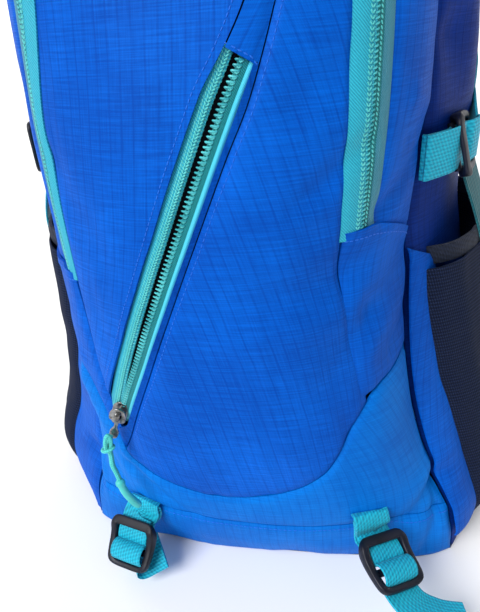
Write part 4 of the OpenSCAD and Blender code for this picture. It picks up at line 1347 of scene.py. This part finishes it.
def inflate(obj, cap, voxel=5.0, pressure=4.0):
    """Swells a closed mesh with cloth and air pressure, keeps points within cap millimetres, smooths it."""
    scene = bpy.context.scene
    bpy.context.view_layer.objects.active = obj
    remesh = obj.modifiers.new("remesh", "REMESH")
    remesh.mode = "VOXEL"
    remesh.voxel_size = voxel * MM
    bpy.ops.object.modifier_apply(modifier=remesh.name)
    before = np.array([v.co for v in obj.data.vertices])
    swell_up = obj.modifiers.new("cloth", "CLOTH")
    settings = swell_up.settings
    settings.quality = 5
    settings.use_pressure = True
    settings.uniform_pressure_force = pressure
    settings.tension_stiffness = 20
    settings.compression_stiffness = 20
    settings.bending_stiffness = 3
    settings.effector_weights.gravity = 0
    swell_up.point_cache.frame_start = 1
    swell_up.point_cache.frame_end = CLOTH_STEPS
    for number in range(1, CLOTH_STEPS + 1):
        scene.frame_set(number)
    shape = obj.evaluated_get(bpy.context.evaluated_depsgraph_get())
    after = np.array([v.co for v in shape.data.vertices])
    obj.modifiers.remove(swell_up)
    scene.frame_set(1)
    move = after - before
    size = np.linalg.norm(move, axis=1, keepdims=True)
    move = move * np.minimum(1, cap * MM / np.maximum(size, 1e-9))
    obj.data.vertices.foreach_set("co", (before + move).astype(np.float32).ravel())
    finer = obj.modifiers.new("smooth", "SUBSURF")
    finer.levels = 1
    finer.render_levels = 1
    bpy.ops.object.modifier_apply(modifier=finer.name)
    obj.data.polygons.foreach_set("use_smooth", [True] * len(obj.data.polygons))


def cushion(name, points, faces, cap, nodes=(), reshape=None):
    """A padded piece: swollen from a closed form, then reshaped with its seams and channels."""
    obj = piece(name, points, faces, "pack", "padding", spacer, nodes)
    inflate(obj, cap)
    if reshape is not None:
        at = np.array([v.co for v in obj.data.vertices]) / MM
        obj.data.vertices.foreach_set("co", (reshape(at) * MM).astype(np.float32).ravel())
    obj.data.update()


def slab(x0, x1, z0, z1, y0, y1, corner):
    """A closed pad lying on the back: rounded corners, thinner at its edge."""
    columns, rows = 24, 40
    u, v = np.meshgrid(np.linspace(-1, 1, columns), np.linspace(-1, 1, rows))
    wide, high = (x1 - x0) / 2, (z1 - z0) / 2
    bend = np.sqrt(np.clip(1 - (v**2) * (1 - (1 - corner / wide) ** 2) * (np.abs(v) ** 6), 0, 1))
    x = (x0 + x1) / 2 + u * wide * bend
    z = (z0 + z1) / 2 + v * high * np.sqrt(np.clip(1 - np.abs(u) ** 8 * corner / high, 0, 1))
    edge = np.minimum(1 - np.abs(u), (1 - np.abs(v)) * high / wide)
    rise = (y1 - y0) * (0.35 + 0.65 * smooth(edge / 0.35))
    outer = np.stack([x, y0 + rise, z], -1)[:, ::-1]
    inner = np.stack([x, 0 * x + y0, z], -1)[:, ::-1]
    return closed_sheet(outer, inner)


def channelled(lines, depth, width):
    """Presses sewn channels across a pad, at heights that follow one another."""
    def reshape(at):
        front = smooth((at[:, 1] - 84) / 3)
        lowered = at[:, 2] - 0.0015 * (at[:, 0] - SLUMP) ** 2
        dent = sum(np.exp(-(((lowered - line) / width) ** 2)) for line in lines)
        at[:, 1] -= depth * front * np.minimum(dent, 1)
        return at
    return reshape


PAD_Y, PAD_RISE = BACK_Y + BACK_T + 0.9, 8.5
for side, hand in SIDES:
    middle = 62 * side
    pad_points, pad_faces = slab(middle - 31, middle + 31, 124, 346, PAD_Y, PAD_Y + PAD_RISE, 16)
    cushion("back_pad_" + hand, pad_points, pad_faces, 6, ["back_pads"] if side < 0 else (),
            reshape=channelled((165, 208, 251, 294), 2.6, 4.0))
pad_points, pad_faces = slab(-92, 92, 30, 104, PAD_Y, PAD_Y + PAD_RISE, 18)
cushion("back_pad_lumbar", pad_points, pad_faces, 6, reshape=channelled((66,), 2.6, 4.0))

STRAP_ROUTE = np.array([[46, 88, 366], [47, 97, 362], [51, 113, 346], [56, 125, 318], [62, 130, 280],
                        [70, 128, 240], [79, 121, 205], [87, 113, 180]], float)
STRAP_WIDTH = np.array([58, 62, 66, 66, 64, 58, 48, 36], float)
PAD_T = 12.0


def shoulder_line():
    """The strap's middle line with a point about every 4 mm, and its width there."""
    length = running(STRAP_ROUTE, 0)
    table = np.column_stack([length, STRAP_ROUTE, STRAP_WIDTH])
    t = np.linspace(0, length[-1], int(length[-1] / 4.0))
    return np.stack([curve(table, k, t) for k in (1, 2, 3)], -1), curve(table, 4, t)


def shoulder_strap(side, hand):
    """Padding, the binding along both edges, and the webbing down its outside."""
    route, width = shoulder_line()
    half = width / 2 - 2.5
    a = np.linspace(0, 2 * np.pi, 28, endpoint=False)
    flat = np.sign(np.cos(a)) * np.abs(np.cos(a)) ** 0.6
    thick = -np.sign(np.sin(a)) * np.abs(np.sin(a)) ** 0.8 * (PAD_T / 2 - 2.2)
    section = np.stack(np.broadcast_arrays(flat[None] * half[:, None], thick[None]), -1)
    across = np.array([side, 0, 0.0])
    line = route * [side, 1, 1]
    points, faces, _ = sweep(line, across, section)
    cushion("shoulder_strap_" + hand, points, faces, 5, ["shoulder_strap_" + hand])
    _, wide, normal = frames(line, across)
    for edge, which in ((-1, "inner"), (1, "outer")):
        border = line + wide * (edge * (width / 2 - 0.8))[:, None]
        tube, tube_faces, tube_uv = sweep(smooth_route(border, 3), across, rounded(1.5, 2.4, 12, 2.4))
        piece(f"strap_edging_{hand}_{which}", tube, tube_faces, "pack", "binding", elastic, (), tube_uv)
    outside = normal * np.sign(normal @ [0, 1.0, 0.3])[:, None]
    strap("harness_webbing_" + hand, line[4:] + outside[4:] * 7.4, 20, (side, 0, 0), 3)


for side, hand in SIDES:
    shoulder_strap(side, hand)

STRAP_BAR, STRAP_TILT = np.array([90.0, 108, 166]), 104


def at_strap(side):
    return lambda p: (STRAP_BAR + turned(p, 0, -STRAP_TILT)) * [side, 1, 1]


def lower_strap(side, hand):
    """The ladder lock at the strap's end, its sewn loop, and the webbing down to the pack's foot."""
    place = at_strap(side)
    loop = place(np.concatenate([[[0, -11, -1.4]], bar_loop(4.4), [[0, -11, 1.4]]]))
    strap("strap_loop_" + hand, loop, WEB_W, (side, 0, 0), 1.0, ["lower_webbing"] if side < 0 else ())
    drop = place([[0, 7.6, 5], [0, 7.6, 0], [0, 9, -3.4], [0, 13, -4], [0, 16.4, -3.4], [0, 17.3, 0],
                  [0, 18.4, 3.6], [0, 26, 4.4], [0, 34, 4]])
    fall = np.array([[93, 104, 112], [99, 100, 92], [108, 95, 72], [118, 89, 54], [126, 83.4, 38]])
    route = np.concatenate([drop, fall * [side, 1, 1]])
    strap("lower_webbing_" + hand, route, WEB_W - 1, (side, 0, 0.2), 1.2)
    ladder_lock("strap_lock_" + hand, place, "pack")


for side, hand in SIDES:
    lower_strap(side, hand)

half_haul = np.array([[-45, 82.4, 388], [-41, 88, 388], [-31, 98, 388], [-16, 105, 388]])
haul = np.concatenate([half_haul, [[0, 107, 388]], half_haul[::-1] * [-1, 1, 1]]) + [SLUMP, 0, 0]
strap("haul_loop", haul, 20, (0, 0, 1), replaces=["haul_loop"], thick=2, fuller=0.6)
STERNUM_Z, STERNUM_Y = 300.0, 141.5
for side, hand, near, body in ((-1, "left", 14.2, "pack"), (1, "right", 15.2, "sternum_plug")):
    route = np.array([[60, STERNUM_Y - 3.4, STERNUM_Z], [34, STERNUM_Y, STERNUM_Z],
                      [near, STERNUM_Y, STERNUM_Z]])
    strap("sternum_strap_" + hand, route * [side, 1, 1], 20, (0, 0, 1), 1.6, ["sternum_strap_" + hand], body)

# ---- puller ----

PULLER_ROUTE = np.array([[-79, -116, 114], [-80, -119, 107], [-80, -119, 101], [-80, -120, 95],
                         [-79, -120, 90], [-78, -120, 84]], float)
GRIP_ROUTE = np.array([[-78, -120, 84], [-77, -121, 80], [-75, -121, 73], [-72, -120, 66],
                       [-70, -118, 60]], float)
PULLER_RADIUS = 1.5
ZIP_OUT, ZIP_BULGE, SLIDER_SHARE = unit([0, -1, 0.05]), 12.0, 0.04


def zip_arc(t):
    return mix(*DIAGONAL_ENDS, t) + ZIP_OUT * ZIP_BULGE * 4 * t * (1 - t)


def at_slider(p):
    """Places a form on the slanted zip's slider: y up the zip, z out of the bag."""
    d = unit(zip_arc(SLIDER_SHARE + 0.01) - zip_arc(SLIDER_SHARE - 0.01))
    tipped = turned(p, 0, 90 - math.degrees(math.asin(d[1])))
    return zip_arc(SLIDER_SHARE) + turned(tipped, 1, math.degrees(math.atan2(d[0], d[2])))


def slider():
    """A coil zip's slider: two plates with rounded ends, a bridge on top, and its tab."""
    y = np.linspace(-6, 6, 25)
    half = 4.9 - 1.6 * smooth((y - 0.5) / 5.5)
    end = np.sqrt(np.clip(1 - (np.abs(y) / 6.05) ** 7, 0.02, 1))
    spine = np.stack([0 * y, y, 0 * y], -1)
    parts = []
    for level, thick in ((2.5, 0.85), (-2.3, 0.75)):
        section = rounded(half * end, thick * np.sqrt(end), power=3.0)
        parts.append(sweep(spine + [0, 0, level], (1, 0, 0), section)[:2])
    parts.append(sweep(np.array([[0, 1.6, z] for z in np.linspace(-2.2, 2.4, 6)]), (1, 0, 0),
                       rounded(np.full(6, 1.0), np.full(6, 1.6)))[:2])
    a = np.linspace(0, np.pi, 18)
    bridge = np.stack([0 * a, 3.9 * np.cos(a), 3.0 + 2.7 * np.sin(a)], -1)
    parts.append(sweep(bridge, (1, 0, 0), rounded(np.full(18, 1.5), np.full(18, 0.55), power=3.0))[:2])
    points, faces = joined(parts)
    piece("slider_body", at_slider(points), faces, "diagonal_slider", "zip_metal", metal, ["diag_slider"],
          sharp=45)
    ring = np.linspace(0, 2 * np.pi, 40)
    eye = np.stack([1.9 * np.cos(ring), -1.0 + 2.2 * np.sin(ring), 0 * ring + 5.0], -1)
    parts = [sweep(eye, (0, 0, 1.0), rounded(np.full(40, 0.55), np.full(40, 0.55), 10, 2.0))[:2]]
    y = np.linspace(-2.6, -19, 22)
    wide = 1.1 + 1.5 * smooth((-y - 7) / 5)
    tip = np.sqrt(np.clip(1 - np.clip((-y - 14) / 5.1, 0, 1) ** 3, 0.02, 1))
    plate = np.stack([0.8 + 0 * y, y, 5.0 - 0.2 * smooth((-y - 4) / 10)], -1)
    parts.append(sweep(plate, (1, 0, 0), rounded(wide * tip, np.full(22, 0.6) * np.sqrt(tip), power=3.0))[:2])
    points, faces = joined(parts)
    piece("slider_tab", at_slider(points), faces, "diagonal_tab", "zip_metal", metal, ["diag_tab"], sharp=45)


slider()


def puller():
    """The cord with its hitch on the tab, and the moulded grip at its end."""
    line = smooth_route(PULLER_ROUTE, 1.0)
    points, faces, uv = sweep(line, (1, 0, 0), round_profile(PULLER_RADIUS, 14))
    tube = piece("puller_cord", points, faces, "diagonal_tab", "cord", cord_braid, ["puller_cord"], uv)
    grip_line = smooth_route(GRIP_ROUTE, 0.8)
    share = running(grip_line, 0)
    collar = 0.75 * np.exp(-(((share - 2.2) / 1.9) ** 4))
    ends = np.sqrt(np.clip(1 - ((np.abs(share - share[-1] / 2) / (share[-1] / 2)) ** 14), 0.02, 1))
    radius = (2.15 + 0.35 * share / share[-1] + collar) * ends
    section = round_profile(1.0, 18)[None] * radius[:, None, None]
    points, faces, uv = sweep(grip_line, (1, 0, 0), section)
    grip = piece("puller_grip", points, faces, "diagonal_tab", "grip", rubber, ["puller_grip"], uv)
    a = np.linspace(-0.2, 2 * np.pi + 0.2, 44)
    c, s = np.cos(a), np.sin(a)
    loop = np.stack([-79.0 + 1.4 * c + 0.9 * s, -120.6 + 0.8 * c, 112.4 + 5.8 * s], -1)
    wrap = np.stack([-80.4 + 3.3 * c, -119.6 + 2.2 * s, 107.4 + 1.3 * c], -1)
    forms = [sweep(line_round, across, round_profile(1.15, 12))
             for line_round, across in ((loop, (0, 1, 0)), (wrap, (0, 0, 1)))]
    points, faces = joined([form[:2] for form in forms])
    knot = piece("puller_hitch", points, faces, "diagonal_tab", "cord", cord_braid, (),
                 np.concatenate([form[2] for form in forms]))
    float(running(line, 0)[-1]) * MM


puller()

# ---- hardware that keeps its frame shape ----


def dress(node, material, radius):
    """Gives a frame node its material and breaks its sharp edges."""
    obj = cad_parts[node]
    obj.data.materials.clear()
    obj.data.materials.append(material)
    weld = obj.modifiers.new("weld", "WELD")
    weld.merge_threshold = 0.00005
    bevel = obj.modifiers.new("edge", "BEVEL")
    bevel.width = radius * MM
    bevel.segments = 3
    bevel.limit_method = "ANGLE"
    bevel.angle_limit = math.radians(35)
DRESSED = ((metal, 0.3, ("side_slider_left", "side_slider_right", "crown_slider_front", "crown_slider_rear")),
           (rubber, 0.4, ("side_pull_left", "side_pull_right")),
           (plastic, 0.7, ("sternum_socket", "sternum_plug")),
           (sheet_plastic, 0.4, ("frame_sheet",)))
for material, radius, nodes in DRESSED:
    for node in nodes:
        dress(node, material, radius)

# ---- light, floor and finish ----

SURROUND, SUN_ENERGY, SUN_ANGLE = 0.36, 3.2, 35
SUN_FROM = (-0.43, -0.64, 0.64)


def studio():
    """One large soft light from the front left, with a white surround and a pale floor and wall."""
    world = bpy.data.worlds.new("studio")
    world.use_nodes = True
    world.node_tree.nodes["Background"].inputs[0].default_value = (1, 1, 1, 1)
    world.node_tree.nodes["Background"].inputs[1].default_value = SURROUND
    bpy.context.scene.world = world
    data = bpy.data.lights.new("key", "SUN")
    data.energy = SUN_ENERGY
    data.angle = math.radians(SUN_ANGLE)
    key = bpy.data.objects.new("key", data)
    bpy.context.scene.collection.objects.link(key)
    key.rotation_euler = Vector(SUN_FROM).to_track_quat("Z", "Y").to_euler()
    f = Finish("pale_floor", Roughness=0.9)
    pale = f.noise(f.place(), 3)
    floor_material = f.finish(f.blend(pale, (0.96, 0.96, 0.96, 1), (0.99, 0.99, 0.99, 1)))
    mesh = bpy.data.meshes.new("floor")
    reach, back = 30.0, 12.0
    mesh.from_pydata([(-reach, -reach, 0), (reach, -reach, 0), (reach, back, 0), (-reach, back, 0),
                      (reach, back, reach), (-reach, back, reach)], [], [(0, 1, 2, 3), (3, 2, 4, 5)])
    mesh.materials.append(floor_material)
    floor = bpy.data.objects.new("floor", mesh)
    bpy.context.scene.collection.objects.link(floor)
    bpy.context.scene.view_settings.view_transform = "Standard"


studio()
